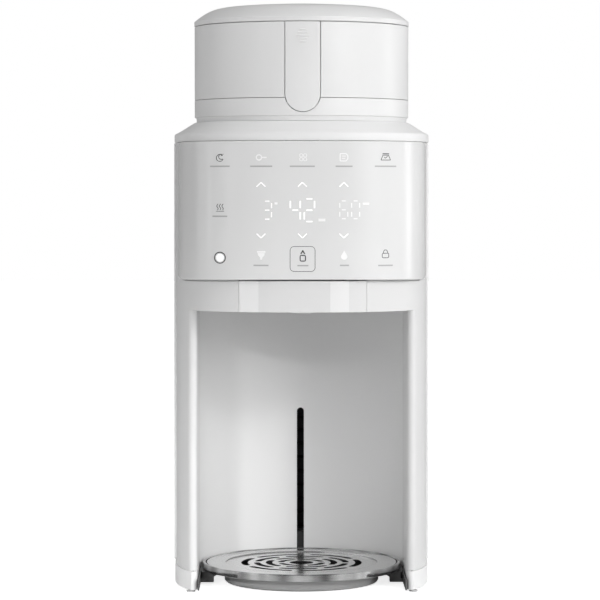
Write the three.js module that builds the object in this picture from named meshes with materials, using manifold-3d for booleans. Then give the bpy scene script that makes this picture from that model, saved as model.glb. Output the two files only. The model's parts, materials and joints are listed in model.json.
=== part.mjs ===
// A counter-top baby formula maker: a powder hopper on a body with a bottle alcove, a tray that
// slides up and down, and a water tank behind. Millimetres, +Z up, the front faces -Y.
// The origin lies on the table, at the centre of the body's width and depth.

import * as THREE from "three";
import { mergeVertices } from "three/addons/utils/BufferGeometryUtils.js";
import Module from "manifold-3d";

// Overall sizes
const bodyWidth = 176;
const draftShare = 0.006;
const planPower = 2.5;

// Clearances and walls shared by many pieces
const wall = 2.4;
const gap = 0.3;
const overrun = 2;
const weld = 0.0001;

// Levels up the body
const footHeight = 1.2;
const skirtTop = 14;
const beamBottom = 188.7;
const drawerHeight = 22.8;
const panelSeam = 0.5;
const panelHeight = 91.3;
const shoulderHeight = 13.4;

// Plan of the body
const panelProud = 2.5;
const axisToFront = 89.5;
const curveBehindAxis = 7;
const stripShow = 1.8;
const wingWidth = 15.7;
const mechanismDepth = 38;
const bayDepth = 54;
const rearCorner = 26;
const wingFillet = 3;
const drumInset = 14.5;

// Shoulder: how far each level is drawn in, and how high it is, as shares of the last level
const shoulderInset = 14.6;
const shoulderInsetShares = [0, 0.18, 0.64, 1];
const shoulderRiseShares = [0.23, 0.45, 0.776, 1];

// Facets round a full turn, by how big the piece is
const largeTurn = 40;
const insideTurn = 26;
const mediumTurn = 20;
const smallTurn = 12;
const tinyTurn = 8;
const curveSteps = 24;
const cornerSteps = 6;
const smallCornerSteps = 2;

// Places worked out from the driving sizes
const bodyHalf = bodyWidth / 2;
const frameHalf = bodyHalf - stripShow;
const alcoveHalf = frameHalf - wingWidth;
const drumRadius = bodyHalf - drumInset;
const bodyDepth = axisToFront + alcoveHalf + mechanismDepth + bayDepth;
const rearY = bodyDepth / 2;
const frontY = -rearY;
const beamFrontY = frontY + panelProud;
const axisY = frontY + axisToFront;
const curveY = axisY + curveBehindAxis;
const frontReach = curveY - beamFrontY;
const bayY = rearY - bayDepth;
const skirtBottom = footHeight + gap;
const frameBottom = skirtTop + gap;
const drawerTop = beamBottom + drawerHeight;
const panelBottom = drawerTop + panelSeam;
const panelTop = panelBottom + panelHeight;
const frameTop = panelTop;
const shoulderBase = frameTop + gap;
const shoulderTop = shoulderBase + shoulderHeight;

// Finishes
function finish(color, roughness, metalness) {
  return new THREE.MeshStandardMaterial({ color, roughness, metalness });
}
const whiteShell = () => finish(0xf1f1f0, 0.38, 0);
const panelGloss = () => finish(0xe9e9e9, 0.12, 0);
const darkPlastic = () => finish(0x2c2c2e, 0.55, 0);
const greyPlastic = () => finish(0x77787a, 0.45, 0);
const steel = () => finish(0xb9babc, 0.3, 1);
const rubber = () => finish(0x3a3a3c, 0.8, 0);
const clearTank = () => finish(0xc9d3d8, 0.1, 0);
const boardGreen = () => finish(0x2f5a3c, 0.6, 0);
const copper = () => finish(0xb87333, 0.35, 1);

// Turns a closed geometry into a solid that can be joined and cut
const wasm = await Module();
wasm.setup();

function solidOf(geometry) {
  const bare = geometry.clone();
  bare.deleteAttribute("normal");
  bare.deleteAttribute("uv");
  const merged = mergeVertices(bare, weld);
  const corners = merged.attributes.position.array;
  const faces = [];
  let volume = 0;
  for (let i = 0; i < merged.index.count; i += 3) {
    const [a, b, c] = [0, 1, 2].map((k) => merged.index.getX(i + k));
    if (a === b || b === c || c === a) continue;
    faces.push([a, b, c]);
    const [p, q, r] = [a, b, c].map((k) => new THREE.Vector3().fromArray(corners, 3 * k));
    volume += p.dot(q.cross(r));
  }
  const outward = faces.map(([a, b, c]) => (volume < 0 ? [a, c, b] : [a, b, c]));
  return new wasm.Manifold(
    new wasm.Mesh({
      numProp: 3,
      vertProperties: new Float32Array(corners),
      triVerts: new Uint32Array(outward.flat()),
    }),
  );
}

function geometryOf(solid) {
  const mesh = solid.getMesh();
  const geometry = new THREE.BufferGeometry();
  geometry.setAttribute("position", new THREE.Float32BufferAttribute(mesh.vertProperties, 3));
  geometry.setIndex([...mesh.triVerts]);
  const flat = geometry.toNonIndexed();
  flat.computeVertexNormals();
  return flat;
}

const join = (first, ...others) => others.reduce((sum, next) => sum.add(next), first);
const cut = (first, ...others) => others.reduce((rest, next) => rest.subtract(next), first);

// Leaves out points that repeat the one before, as where an arc meets a line
function distinct(points) {
  return points.filter((point, i) => {
    const before = points[(i + points.length - 1) % points.length];
    return point.distanceTo(before) > weld;
  });
}

// Basic forms
function prism(points, low, high, holes = []) {
  const shape = new THREE.Shape(distinct(points));
  shape.holes = holes.map((hole) => new THREE.Path(hole));
  const geometry = new THREE.ExtrudeGeometry(shape, { depth: high - low, bevelEnabled: false });
  return solidOf(geometry.translate(0, 0, low));
}

// An outline drawn in X and Z, extruded along Y from near to far
function prismAlongY(points, near, far) {
  const geometry = new THREE.ExtrudeGeometry(new THREE.Shape(distinct(points)), {
    depth: far - near,
    bevelEnabled: false,
  });
  return solidOf(geometry.rotateX(Math.PI / 2).translate(0, far, 0));
}

// An outline drawn in Y and Z, extruded along X from left to right
function prismAlongX(points, left, right) {
  const geometry = new THREE.ExtrudeGeometry(new THREE.Shape(distinct(points)), {
    depth: right - left,
    bevelEnabled: false,
  });
  return solidOf(geometry.rotateX(Math.PI / 2).rotateZ(Math.PI / 2).translate(left, 0, 0));
}

function block(left, right, near, far, low, high) {
  const geometry = new THREE.BoxGeometry(right - left, far - near, high - low);
  return solidOf(geometry.translate((left + right) / 2, (near + far) / 2, (low + high) / 2));
}

// A profile of [radius, height] pairs turned about an upright line at x, y
function turned(profile, x, y, facets) {
  const points = profile.map(([radius, height]) => new THREE.Vector2(radius, height));
  const geometry = new THREE.LatheGeometry(points, facets);
  return solidOf(geometry.rotateX(Math.PI / 2).translate(x, y, 0));
}

function rod(x, y, radius, low, high, facets = smallTurn) {
  return turned([[0, low], [radius, low], [radius, high], [0, high]], x, y, facets);
}

function tube(x, y, inner, outer, low, high, facets = smallTurn) {
  const profile = [[inner, low], [outer, low], [outer, high], [inner, high], [inner, low]];
  return turned(profile, x, y, facets);
}

// A rod lying along X
function crossRod(left, right, y, z, radius, facets = smallTurn) {
  const geometry = new THREE.CylinderGeometry(radius, radius, right - left, facets);
  return solidOf(geometry.rotateZ(Math.PI / 2).translate((left + right) / 2, y, z));
}

// A rod lying along Y
function lengthRod(x, near, far, z, radius, facets = smallTurn) {
  const geometry = new THREE.CylinderGeometry(radius, radius, far - near, facets);
  return solidOf(geometry.translate(x, (near + far) / 2, z));
}

function hose(points, radius, sides, steps) {
  const curve = new THREE.CatmullRomCurve3(points.map(([x, y, z]) => new THREE.Vector3(x, y, z)));
  const section = new THREE.Shape(ringPoints(0, 0, radius, sides));
  return solidOf(new THREE.ExtrudeGeometry(section, { extrudePath: curve, steps }));
}

function arc(x, y, radius, from, to, steps) {
  return Array.from({ length: steps + 1 }, (_, i) => {
    const angle = from + ((to - from) * i) / steps;
    return new THREE.Vector2(x + radius * Math.cos(angle), y + radius * Math.sin(angle));
  });
}

const ringPoints = (x, y, radius, count) => arc(x, y, radius, 0, 2 * Math.PI, count).slice(0, -1);

// Front half of a plan outline: a flattened curve from the left side round the front
function frontCurve(half, reach, power) {
  return Array.from({ length: curveSteps + 1 }, (_, i) => {
    const angle = Math.PI + (Math.PI * i) / curveSteps;
    const bend = (value) => Math.sign(value) * Math.abs(value) ** (2 / power);
    return new THREE.Vector2(half * bend(Math.cos(angle)), curveY + reach * bend(Math.sin(angle)));
  });
}

function closedPlan(half, reach, power, backY) {
  return [
    ...frontCurve(half, reach, power),
    new THREE.Vector2(half, backY),
    new THREE.Vector2(-half, backY),
  ];
}

const framePlan = (inset, backY) =>
  closedPlan(frameHalf - inset, frontReach - inset, planPower, backY);

function bodyPlan(inset, backY, corner) {
  const half = bodyHalf - inset;
  const radius = Math.max(corner - inset, wall);
  const steps = corner < rearCorner ? smallCornerSteps : cornerSteps;
  return [
    ...frontCurve(half, frontReach - inset, planPower),
    ...arc(half - radius, backY - radius, radius, 0, Math.PI / 2, steps),
    ...arc(radius - half, backY - radius, radius, Math.PI / 2, Math.PI, steps),
  ];
}

// Alcove: a half circle about the tray's axis, open to the front
function alcovePlan(offset) {
  const radius = alcoveHalf + offset;
  return [
    new THREE.Vector2(-radius, frontY - overrun),
    new THREE.Vector2(radius, frontY - overrun),
    ...arc(0, axisY, radius, 0, Math.PI, curveSteps),
  ];
}

// Housings taper: they are a little wider at the table than at the shoulder
function tapered(solid) {
  return solid.warp((corner) => {
    const below = Math.max(0, (shoulderBase - corner[2]) / shoulderBase);
    corner[0] *= 1 + draftShare * below;
  });
}

const group = new THREE.Group();

function add(name, solid, material) {
  const mesh = new THREE.Mesh(geometryOf(solid), material);
  mesh.name = name;
  group.add(mesh);
  return mesh;
}

const mirrored = (make) => [1, -1].map((side) => make(side));
const span = (side, inner, outer) => (side > 0 ? [inner, outer] : [-outer, -inner]);

// Front frame: the two wings and the beam in one moulding

const drawerHalf = 42;
const windowInset = 44.2;
const windowHalf = frameHalf - windowInset;
const windowRise = 14.5;
const windowDrop = 13.3;
const windowBottom = drawerTop + windowRise;
const windowTop = frameTop - windowDrop;

// Rounds the upright edge between a wing's face and the alcove
function wingEdgeCutter(half, reach, low, high) {
  const centreX = alcoveHalf + wingFillet;
  const [halfIn, reachIn] = [half - wingFillet, reach - wingFillet];
  const along = (centreX / halfIn) ** planPower;
  const centreY = curveY - reachIn * (1 - along) ** (1 / planPower);
  const slopeX = (centreX / halfIn) ** (planPower - 1) / halfIn;
  const slopeY = ((curveY - centreY) / reachIn) ** (planPower - 1) / reachIn;
  const normal = Math.atan2(-slopeY, slopeX) + 2 * Math.PI;
  const outerX = centreX + (wingFillet + overrun) * Math.cos(normal);
  const outerY = centreY + (wingFillet + overrun) * Math.sin(normal);
  const innerX = alcoveHalf - overrun;
  const aheadY = outerY + ((outerX - innerX) * Math.cos(normal)) / Math.sin(normal);
  const outline = [
    new THREE.Vector2(innerX, centreY),
    ...arc(centreX, centreY, wingFillet, Math.PI, normal, cornerSteps),
    new THREE.Vector2(outerX, outerY),
    new THREE.Vector2(innerX, aheadY),
  ];
  return mirrored((side) =>
    prism(outline.map((p) => new THREE.Vector2(side * p.x, p.y)), low, high),
  );
}

function makeFrontFrame() {
  const backY = curveY + overrun;
  const shell = cut(
    prism(framePlan(0, backY), frameBottom, frameTop),
    prism(framePlan(wall, backY + overrun), frameBottom - overrun, frameTop + overrun),
  );
  const returns = prism(framePlan(wall / 2, backY), frameBottom, beamBottom - gap).intersect(
    prism(alcovePlan(wall), frameBottom - overrun, beamBottom),
  );
  const rear = block(-bodyWidth, bodyWidth, curveY - gap, rearY, 0, shoulderTop);
  const opening = prism(alcovePlan(0), frameBottom - overrun, beamBottom);
  const drawerMouth = block(
    -drawerHalf - gap,
    drawerHalf + gap,
    frontY - overrun,
    axisY,
    beamBottom - overrun,
    drawerTop + gap,
  );
  const displayWindow = block(
    -windowHalf,
    windowHalf,
    frontY - overrun,
    axisY,
    windowBottom,
    windowTop,
  );
  const edges = wingEdgeCutter(frameHalf, frontReach, frameBottom - overrun, beamBottom);
  return cut(join(shell, returns), opening, drawerMouth, displayWindow, rear, ...edges);
}

// Rear shell: sides and the wall in front of the tank

const inletFromBay = 25;
const inletY = bayY - inletFromBay;
const inletZ = 30;
const inletHalfWidth = 10;
const inletHalfHeight = 6;
const inletDepth = 16;

function makeRearShell() {
  const shell = cut(
    prism(bodyPlan(0, bayY - gap, wall), frameBottom, frameTop),
    prism(bodyPlan(wall, bayY - gap - wall, wall), frameBottom - overrun, frameTop + overrun),
    block(-bodyWidth, bodyWidth, frontY - overrun, curveY, 0, shoulderTop),
  );
  const inletHole = block(
    bodyHalf - wall - overrun,
    bodyHalf + overrun,
    inletY - inletHalfWidth - gap,
    inletY + inletHalfWidth + gap,
    inletZ - inletHalfHeight - gap,
    inletZ + inletHalfHeight + gap,
  );
  return cut(tapered(shell), inletHole);
}

// Top cover: the shoulder, with bosses that carry the deck below

const seatInset = 11.5;
const seatHole = drumRadius - seatInset;
const deckDrop = 13.6;
const deckTop = shoulderTop - deckDrop;
const deckInset = 2.5;
const deckRadius = drumRadius - deckInset;
const bossRadius = 3.5;
const bossEdge = 1;
const bossReach = deckRadius - bossRadius - bossEdge;

function loft(rings) {
  const count = rings[0].points.length;
  const corners = rings.flatMap(({ points, z }) => points.flatMap((p) => [p.x, p.y, z]));
  const index = [];
  for (let level = 0; level + 1 < rings.length; level += 1) {
    for (let i = 0; i < count; i += 1) {
      const [a, b] = [level * count + i, level * count + ((i + 1) % count)];
      index.push(a, b, b + count, a, b + count, a + count);
    }
  }
  const top = (rings.length - 1) * count;
  for (const [a, b, c] of THREE.ShapeUtils.triangulateShape(rings[0].points, [])) {
    index.push(a, c, b, top + a, top + b, top + c);
  }
  const geometry = new THREE.BufferGeometry();
  geometry.setAttribute("position", new THREE.Float32BufferAttribute(corners, 3));
  geometry.setIndex(index);
  return solidOf(geometry);
}

function makeTopCover() {
  const outer = [{ points: bodyPlan(0, bayY - gap, wall), z: shoulderBase }];
  shoulderInsetShares.forEach((share, i) => {
    const inset = shoulderInset * share;
    const points = bodyPlan(inset, bayY - gap - inset, wall + inset);
    outer.push({ points, z: shoulderBase + shoulderHeight * shoulderRiseShares[i] });
  });
  const hollowTop = shoulderTop - wall;
  const inner = [
    { points: bodyPlan(wall, bayY - gap - wall, wall), z: shoulderBase - overrun },
    { points: bodyPlan(wall, bayY - gap - wall, wall), z: shoulderBase + shoulderHeight / 4 },
    {
      points: bodyPlan(shoulderInset, bayY - gap - shoulderInset, shoulderInset),
      z: hollowTop,
    },
  ];
  const shell = cut(
    loft(outer),
    loft(inner),
    rod(0, axisY, seatHole, hollowTop - overrun, shoulderTop + overrun, largeTurn),
  );
  const bosses = [0, 1, 2, 3].map((i) => {
    const angle = Math.PI / 4 + (i * Math.PI) / 2;
    const [x, y] = [bossReach * Math.cos(angle), axisY + bossReach * Math.sin(angle)];
    return rod(x, y, bossRadius, deckTop + gap, shoulderTop - wall / 2);
  });
  return join(shell, ...bosses);
}

// Base: white skirt, dark floor with the horseshoe round the cup, feet and screws

const shelfThickness = 2.5;
const floorThickness = 2.5;
const landTop = 8.8;
const landOver = 5.5;
const landOuter = alcoveHalf + landOver;
const trayClear = 2.3;
const trayRadius = alcoveHalf - trayClear;
const cupInset = 14.9;
const cupRadius = trayRadius - cupInset;
const cupSpace = 4.7;
const cupClear = cupRadius + cupSpace;
const armInner = 1.5;
const armClear = alcoveHalf - armInner;
const armStart = 17;
const dockFromSide = 43;
const dockX = dockFromSide - bodyHalf;
const dockY = rearY - rearCorner;
const dockRadius = 8;

function makeBaseSkirt() {
  const edge = 2;
  const ring = cut(
    prism(bodyPlan(0, rearY, rearCorner), skirtBottom, skirtTop),
    prism(bodyPlan(wall, rearY - wall, rearCorner), skirtBottom - overrun, skirtTop + overrun),
  );
  const shelf = prism(bodyPlan(wall / 2, rearY - wall / 2, rearCorner), skirtTop - shelfThickness, skirtTop)
    .intersect(block(-bodyHalf, bodyHalf, bayY - edge, rearY, 0, shoulderTop));
  const returns = prism(bodyPlan(wall / 2, rearY, wall), skirtBottom, skirtTop).intersect(
    prism(alcovePlan(wall), skirtBottom - overrun, skirtTop + overrun),
  );
  const frontOnly = block(-bodyHalf, bodyHalf, frontY - overrun, curveY - gap, 0, shoulderTop);
  const skirt = cut(
    join(ring, shelf, returns.intersect(frontOnly)),
    prism(alcovePlan(0), 0, skirtTop + overrun),
    ...wingEdgeCutter(bodyHalf, frontReach, 0, skirtTop + overrun),
  );
  const dockHole = rod(dockX, dockY, dockRadius + gap, 0, skirtTop + overrun, mediumTurn);
  return cut(tapered(skirt), dockHole);
}

const screwHead = 3;
const screwShank = 1.4;
const headHeight = 1;
const screwLength = 7;
const screwShares = [[0.82, 0.05], [0.7, 0.84]];

const screwSpots = screwShares.flatMap(([x, y]) =>
  mirrored((side) => [side * x * bodyHalf, y * rearY]),
);

function makeBasePlate() {
  const inset = wall + gap;
  const top = skirtBottom + floorThickness;
  const within = prism(bodyPlan(inset, rearY - inset, rearCorner), skirtBottom, skirtTop);
  const behindReturns = cut(
    within,
    block(-bodyHalf, bodyHalf, frontY - overrun, curveY, top, skirtTop + overrun),
  );
  const floor = within.intersect(block(-bodyHalf, bodyHalf, frontY, rearY, skirtBottom, top));
  const land = rod(0, axisY, landOuter, skirtBottom, landTop, largeTurn).intersect(behindReturns);
  const arms = mirrored((side) => {
    const [left, right] = span(side, armClear, alcoveHalf + wall + gap);
    return block(left, right, frontY, curveY, skirtBottom, landTop).intersect(within);
  });
  const innerArms = mirrored((side) => {
    const [left, right] = span(side, 0, alcoveHalf - gap);
    return rod(0, axisY, alcoveHalf - gap, skirtBottom, landTop, largeTurn).intersect(
      block(left, right, axisY - armStart, curveY + gap, skirtBottom, landTop),
    );
  });
  const clear = cut(
    join(floor, land, ...innerArms, ...arms.map((arm) => arm.intersect(alcoveSide()))),
    returnsClearance(),
    rod(0, axisY, cupClear, 0, skirtTop, largeTurn),
    block(-armClear, armClear, frontY - overrun, axisY - armStart, 0, skirtTop),
  );
  const recesses = screwSpots.flatMap(([x, y]) => [
    rod(x, y, screwHead + gap, 0, skirtBottom + headHeight + gap),
    rod(x, y, screwShank + gap, 0, skirtTop),
  ]);
  return cut(tapered(clear), ...recesses);
}

// The part of the plan that lies inside the alcove's mouth
function alcoveSide() {
  return prism(alcovePlan(-gap), 0, skirtTop);
}

// Room for the skirt's returns beside the alcove
function returnsClearance() {
  const outer = prism(alcovePlan(wall + gap), 0, skirtTop + overrun);
  const inner = prism(alcovePlan(-gap), -overrun, skirtTop + 2 * overrun);
  const front = block(-bodyHalf, bodyHalf, frontY - overrun, curveY, 0, skirtTop + overrun);
  return cut(outer, inner).intersect(front);
}

const footRadius = 3;
const rearFootRadius = 8;
const frontFootIn = 12.8;
const frontFootX = bodyHalf - frontFootIn;
const frontFootAhead = 49.5;
const rearFootX = bodyHalf - rearCorner;
const rearFootFromRear = 18;

function makeFeet() {
  mirrored((side) => {
    const hand = side > 0 ? "right" : "left";
    const front = rod(side * frontFootX, axisY - frontFootAhead, footRadius, 0, footHeight, smallTurn);
    const rear = rod(side * rearFootX, rearY - rearFootFromRear, rearFootRadius, 0, footHeight, mediumTurn);
    add(`foot_front_${hand}`, front, rubber());
    add(`foot_rear_${hand}`, rear, rubber());
  });
}

function makeScrews() {
  screwSpots.forEach(([x, y], i) => {
    const low = skirtBottom + gap / 2;
    const screw = turned(
      [
        [0, low],
        [screwHead, low],
        [screwHead, low + headHeight],
        [screwShank, low + headHeight],
        [screwShank, low + screwLength],
        [0, low + screwLength],
      ],
      x,
      y,
      tinyTurn,
    );
    add(`base_screw_${i + 1}`, screw, steel());
  });
}

// Alcove liner: the concave wall with the slot of the tray, and the shelf that holds its rods

const slotWidth = 4.5;
const slotTop = 114;
const rodRadius = 3;
const rodSpread = 14;
const sliderRoom = 8.6;
const sliderFront = axisY + alcoveHalf + wall + sliderRoom;
const sliderDepth = 14;
const sliderBack = sliderFront + sliderDepth;
const rodY = (sliderFront + sliderBack) / 2;
const shelfRise = 14;
const rodShelf = 3;
const shelfLow = slotTop + shelfRise;
const shelfHigh = shelfLow + rodShelf;
const shelfHalf = 20;

function makeLiner() {
  const low = landTop + gap;
  const high = beamBottom - gap;
  const shell = cut(
    prism(alcovePlan(wall), low, high),
    prism(alcovePlan(0), low - overrun, high + overrun),
    block(-bodyHalf, bodyHalf, frontY - 2 * overrun, curveY, 0, shoulderTop),
  );
  const half = slotWidth / 2;
  const slotOutline = [
    new THREE.Vector2(-half, low - overrun),
    new THREE.Vector2(half, low - overrun),
    ...arc(0, slotTop - half, half, 0, Math.PI, cornerSteps),
  ];
  const behind = axisY + alcoveHalf;
  const slot = prismAlongY(slotOutline, axisY, behind + 2 * wall);
  const shelf = block(
    -shelfHalf,
    shelfHalf,
    behind + wall / 2 - (shelfHalf * shelfHalf) / (2 * alcoveHalf),
    rodY + 2 * rodRadius + gap,
    shelfLow,
    shelfHigh,
  );
  const shelfOutside = cut(shelf, rod(0, axisY, alcoveHalf + wall / 2, 0, shoulderTop, largeTurn));
  return join(cut(shell, slot), shelfOutside);
}

// Spout carrier: ceiling of the alcove, rails of the drawer and the bridge over the funnel

const ceilingThickness = 2.4;
const railInner = 38.4;
const railWall = 2;
const railOuter = railInner + railWall;
const ledgeInner = railInner - railWall;
const ledgeRise = 9.9;
const ledgeTop = beamBottom + ledgeRise;
const ledgeThickness = 2.2;
const bridgeDrop = 1;
const bridgeLow = drawerTop - bridgeDrop;
const bridgeHigh = bridgeLow + ceilingThickness;
const drawerBack = 38;
const neckRadius = 7.5;
const chuteReach = 26;
const chuteRadius = 9;
const nozzleReach = 20;
const nozzleRadius = 4;
const railFrontInset = 9;

function makeSpoutCarrier() {
  const low = beamBottom;
  const high = low + ceilingThickness;
  const inset = wall + gap;
  const plate = prism(framePlan(inset, rearY), low, high).intersect(
    prism(alcovePlan(wall), low - overrun, high + overrun),
  );
  const slotHalf = neckRadius + 4 * gap;
  const neckSlot = join(
    rod(0, axisY, slotHalf, low - overrun, high + overrun, mediumTurn),
    block(-slotHalf, slotHalf, frontY, axisY, low - overrun, high + overrun),
  );
  const railFront = beamFrontY + inset + railFrontInset;
  const railBack = axisY + drawerBack;
  const bridgeFront = axisY - chuteReach - chuteRadius - wall;
  const bridgeBack = axisY + nozzleReach + 2 * nozzleRadius + wall;
  const rails = mirrored((side) => {
    const [left, right] = span(side, railInner, railOuter);
    const [ledgeLeft, ledgeRight] = span(side, ledgeInner, railOuter);
    return join(
      block(left, right, railFront, railBack, low + ceilingThickness / 2, ledgeTop + 3 * wall),
      block(left, right, bridgeFront, bridgeBack, low + ceilingThickness / 2, bridgeHigh),
      block(ledgeLeft, ledgeRight, railFront, railBack, ledgeTop - ledgeThickness, ledgeTop),
    );
  });
  const bridge = block(-railOuter, railOuter, bridgeFront, bridgeBack, bridgeLow, bridgeHigh);
  const holes = [
    rod(0, axisY - chuteReach, chuteRadius + gap, bridgeLow - overrun, bridgeHigh + overrun, mediumTurn),
    rod(0, axisY + nozzleReach, nozzleRadius + gap, bridgeLow - overrun, bridgeHigh + overrun),
  ];
  return cut(join(cut(plate, neckSlot), ...rails, bridge), ...holes);
}

// Control panel, light guide and display board

const panelInset = 2.2;
const panelHalf = frameHalf - panelInset;
const panelCorner = 4;
const panelSideInset = 0.7;
const panelSide = frameHalf - panelSideInset;
const panelPower = 3;

function roundedRectangle(half, low, high, radius, steps) {
  return [
    ...arc(half - radius, low + radius, radius, -Math.PI / 2, 0, steps),
    ...arc(half - radius, high - radius, radius, 0, Math.PI / 2, steps),
    ...arc(radius - half, high - radius, radius, Math.PI / 2, Math.PI, steps),
    ...arc(radius - half, low + radius, radius, Math.PI, (3 * Math.PI) / 2, steps),
  ];
}

function makePanel() {
  const reach = frontReach + panelProud;
  const body = prism(closedPlan(panelSide, reach, panelPower, curveY), panelBottom, panelTop);
  const seat = prism(framePlan(-gap, rearY), panelBottom - overrun, panelTop + overrun);
  const face = roundedRectangle(panelHalf, panelBottom, panelTop, panelCorner, cornerSteps);
  return cut(body, seat).intersect(prismAlongY(face, frontY - overrun, curveY));
}

const boardThickness = 1.6;
const boardSetBack = 15;
const boardMargin = 3;

function makeDisplay() {
  const boardFront = beamFrontY + boardSetBack;
  const guide = prism(framePlan(0, rearY), windowBottom + gap, windowTop - gap).intersect(
    block(-windowHalf + gap, windowHalf - gap, frontY, boardFront - gap, 0, shoulderTop),
  );
  add("light_guide", guide, panelGloss());
  const board = block(
    -windowHalf - boardMargin,
    windowHalf + boardMargin,
    boardFront,
    boardFront + boardThickness,
    windowBottom - boardMargin,
    windowTop + boardMargin,
  );
  add("display_board", board, boardGreen());
}

// Funnel drawer and mixing funnel

const drawerRailGap = 0.4;
const drawerRailHalf = railInner - drawerRailGap;
const drawerRailHeight = 4.8;
const drawerFloorLow = ledgeTop + drawerRailHeight;
const drawerFloorHigh = drawerFloorLow + railWall;
const funnelRadius = 29.9;
const funnelRim = 33.5;
const funnelWall = 1.6;
const funnelClear = 1.9;
const funnelTop = bridgeLow - funnelClear;
const neckDrop = 2.7;
const neckBottom = beamBottom - neckDrop;
const neckTop = beamBottom + ceilingThickness + gap;

function makeDrawer() {
  const low = beamBottom;
  const mouth = block(-drawerHalf, drawerHalf, frontY, axisY, low, drawerTop);
  const face = cut(
    prism(framePlan(0, rearY), low, drawerTop),
    prism(framePlan(wall, rearY + overrun), low - overrun, drawerTop + overrun),
  ).intersect(mouth);
  const back = axisY + drawerBack - gap;
  const rails = mirrored((side) => {
    const [left, right] = span(side, drawerRailHalf - railWall, drawerRailHalf);
    return block(left, right, frontY, back, ledgeTop + gap, drawerFloorHigh);
  });
  const floor = block(-drawerRailHalf, drawerRailHalf, frontY, back, drawerFloorLow, drawerFloorHigh);
  const hole = rod(0, axisY, funnelRadius + gap, drawerFloorLow - overrun, drawerTop, largeTurn);
  const inside = prism(framePlan(wall / 2, rearY), low, drawerTop);
  return join(face, cut(join(floor, ...rails).intersect(inside), hole));
}

function makeFunnel() {
  const inner = funnelRadius - funnelWall;
  const neckInner = neckRadius - funnelWall;
  const flange = drawerFloorHigh + gap;
  return turned(
    [
      [neckInner, neckBottom],
      [neckRadius, neckBottom],
      [neckRadius, neckTop],
      [funnelRadius, drawerFloorLow - gap],
      [funnelRadius, flange],
      [funnelRim, flange],
      [funnelRim, flange + funnelWall],
      [funnelRadius, flange + funnelWall],
      [funnelRadius, funnelTop],
      [inner, funnelTop],
      [inner, drawerFloorLow + gap],
      [neckInner, neckTop + funnelWall / 2],
      [neckInner, neckBottom],
    ],
    0,
    axisY,
    insideTurn,
  );
}

// Gears: involute teeth, straight from root to tip

const gearModule = 0.8;
const driveTeeth = 36;
const pinionTeeth = 18;
const backlash = 0.3;
const pressureAngle = Math.PI / 9;
const rootShare = 1.3;
const gearClear = 2.1;
const gearWidth = 4.5;
const gearLow = deckTop + gearClear;
const gearHigh = gearLow + gearWidth;
const shaftRadius = 4;
const pinionShaft = 2;

function gearPlan(x, y, teeth, turn) {
  const pitch = (gearModule * teeth) / 2;
  const base = pitch * Math.cos(pressureAngle);
  const root = pitch - rootShare * gearModule;
  const tip = pitch + gearModule;
  const involute = (angle) => Math.tan(angle) - angle;
  const halfAngle = (radius) => {
    const slope = Math.acos(Math.min(1, base / radius));
    const thickness = Math.PI / (2 * teeth) + involute(pressureAngle) - involute(slope);
    return thickness - backlash / (4 * pitch);
  };
  const levels = [root, tip];
  return Array.from({ length: teeth }, (_, tooth) => {
    const centre = turn + (2 * Math.PI * tooth) / teeth;
    const place = (radius, side) => {
      const angle = centre + side * halfAngle(Math.max(radius, base));
      return new THREE.Vector2(x + radius * Math.cos(angle), y + radius * Math.sin(angle));
    };
    const rising = levels.map((radius) => place(radius, -1));
    const falling = [...levels].reverse().map((radius) => place(radius, 1));
    return [...rising, ...falling];
  }).flat();
}

const pinionY = axisY + (gearModule * (driveTeeth + pinionTeeth)) / 2;

function makeDriveGear() {
  // A gap between two teeth faces the pinion
  const turn = Math.PI / 2 + Math.PI / driveTeeth;
  const bore = ringPoints(0, axisY, shaftRadius + gap, mediumTurn);
  return prism(gearPlan(0, axisY, driveTeeth, turn), gearLow, gearHigh, [bore]);
}

const motorRadius = 15;
const motorHeight = 40.4;
const deckThickness = 2.7;
const motorTop = deckTop - deckThickness - gap;
const motorLow = motorTop - motorHeight;
const motorEdge = 2;

function makePinion() {
  const toothed = prism(gearPlan(0, pinionY, pinionTeeth, -Math.PI / 2), gearLow - gap, gearHigh);
  return join(toothed, rod(0, pinionY, pinionShaft, motorTop + gap, gearLow));
}

function makeMotor() {
  return turned(
    [
      [0, motorLow - 2 * motorEdge],
      [motorRadius / 3, motorLow - 2 * motorEdge],
      [motorRadius / 3, motorLow],
      [motorRadius - motorEdge, motorLow],
      [motorRadius, motorLow + motorEdge],
      [motorRadius, motorTop],
      [0, motorTop],
    ],
    0,
    pinionY,
    mediumTurn,
  );
}

function makeDeck() {
  const low = motorTop + gap;
  const plate = rod(0, axisY, deckRadius, low, deckTop, insideTurn);
  return cut(
    plate,
    rod(0, axisY - chuteReach, chuteRadius + gap, low - overrun, deckTop + overrun, mediumTurn),
    rod(0, pinionY, pinionShaft + gap, low - overrun, deckTop + overrun),
    rod(0, axisY, shaftRadius + gap, low - overrun, deckTop + overrun, mediumTurn),
  );
}

// Powder chute: a tube from the hopper's outlet down to the funnel

const chuteWall = 1.4;
const chuteFlange = 2.5;

function makeChute(top) {
  const inner = chuteRadius - chuteWall;
  const low = bridgeLow + gap;
  const flange = deckTop + gap;
  return turned(
    [
      [inner, low],
      [chuteRadius, low],
      [chuteRadius, flange],
      [chuteRadius + chuteFlange, flange],
      [chuteRadius + chuteFlange, flange + chuteWall],
      [chuteRadius, flange + chuteWall],
      [chuteRadius, top],
      [inner, top],
      [inner, low],
    ],
    0,
    axisY - chuteReach,
    mediumTurn,
  );
}

// Powder hopper: base ring, drum with its bowl, lid, latch and metering parts

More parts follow.
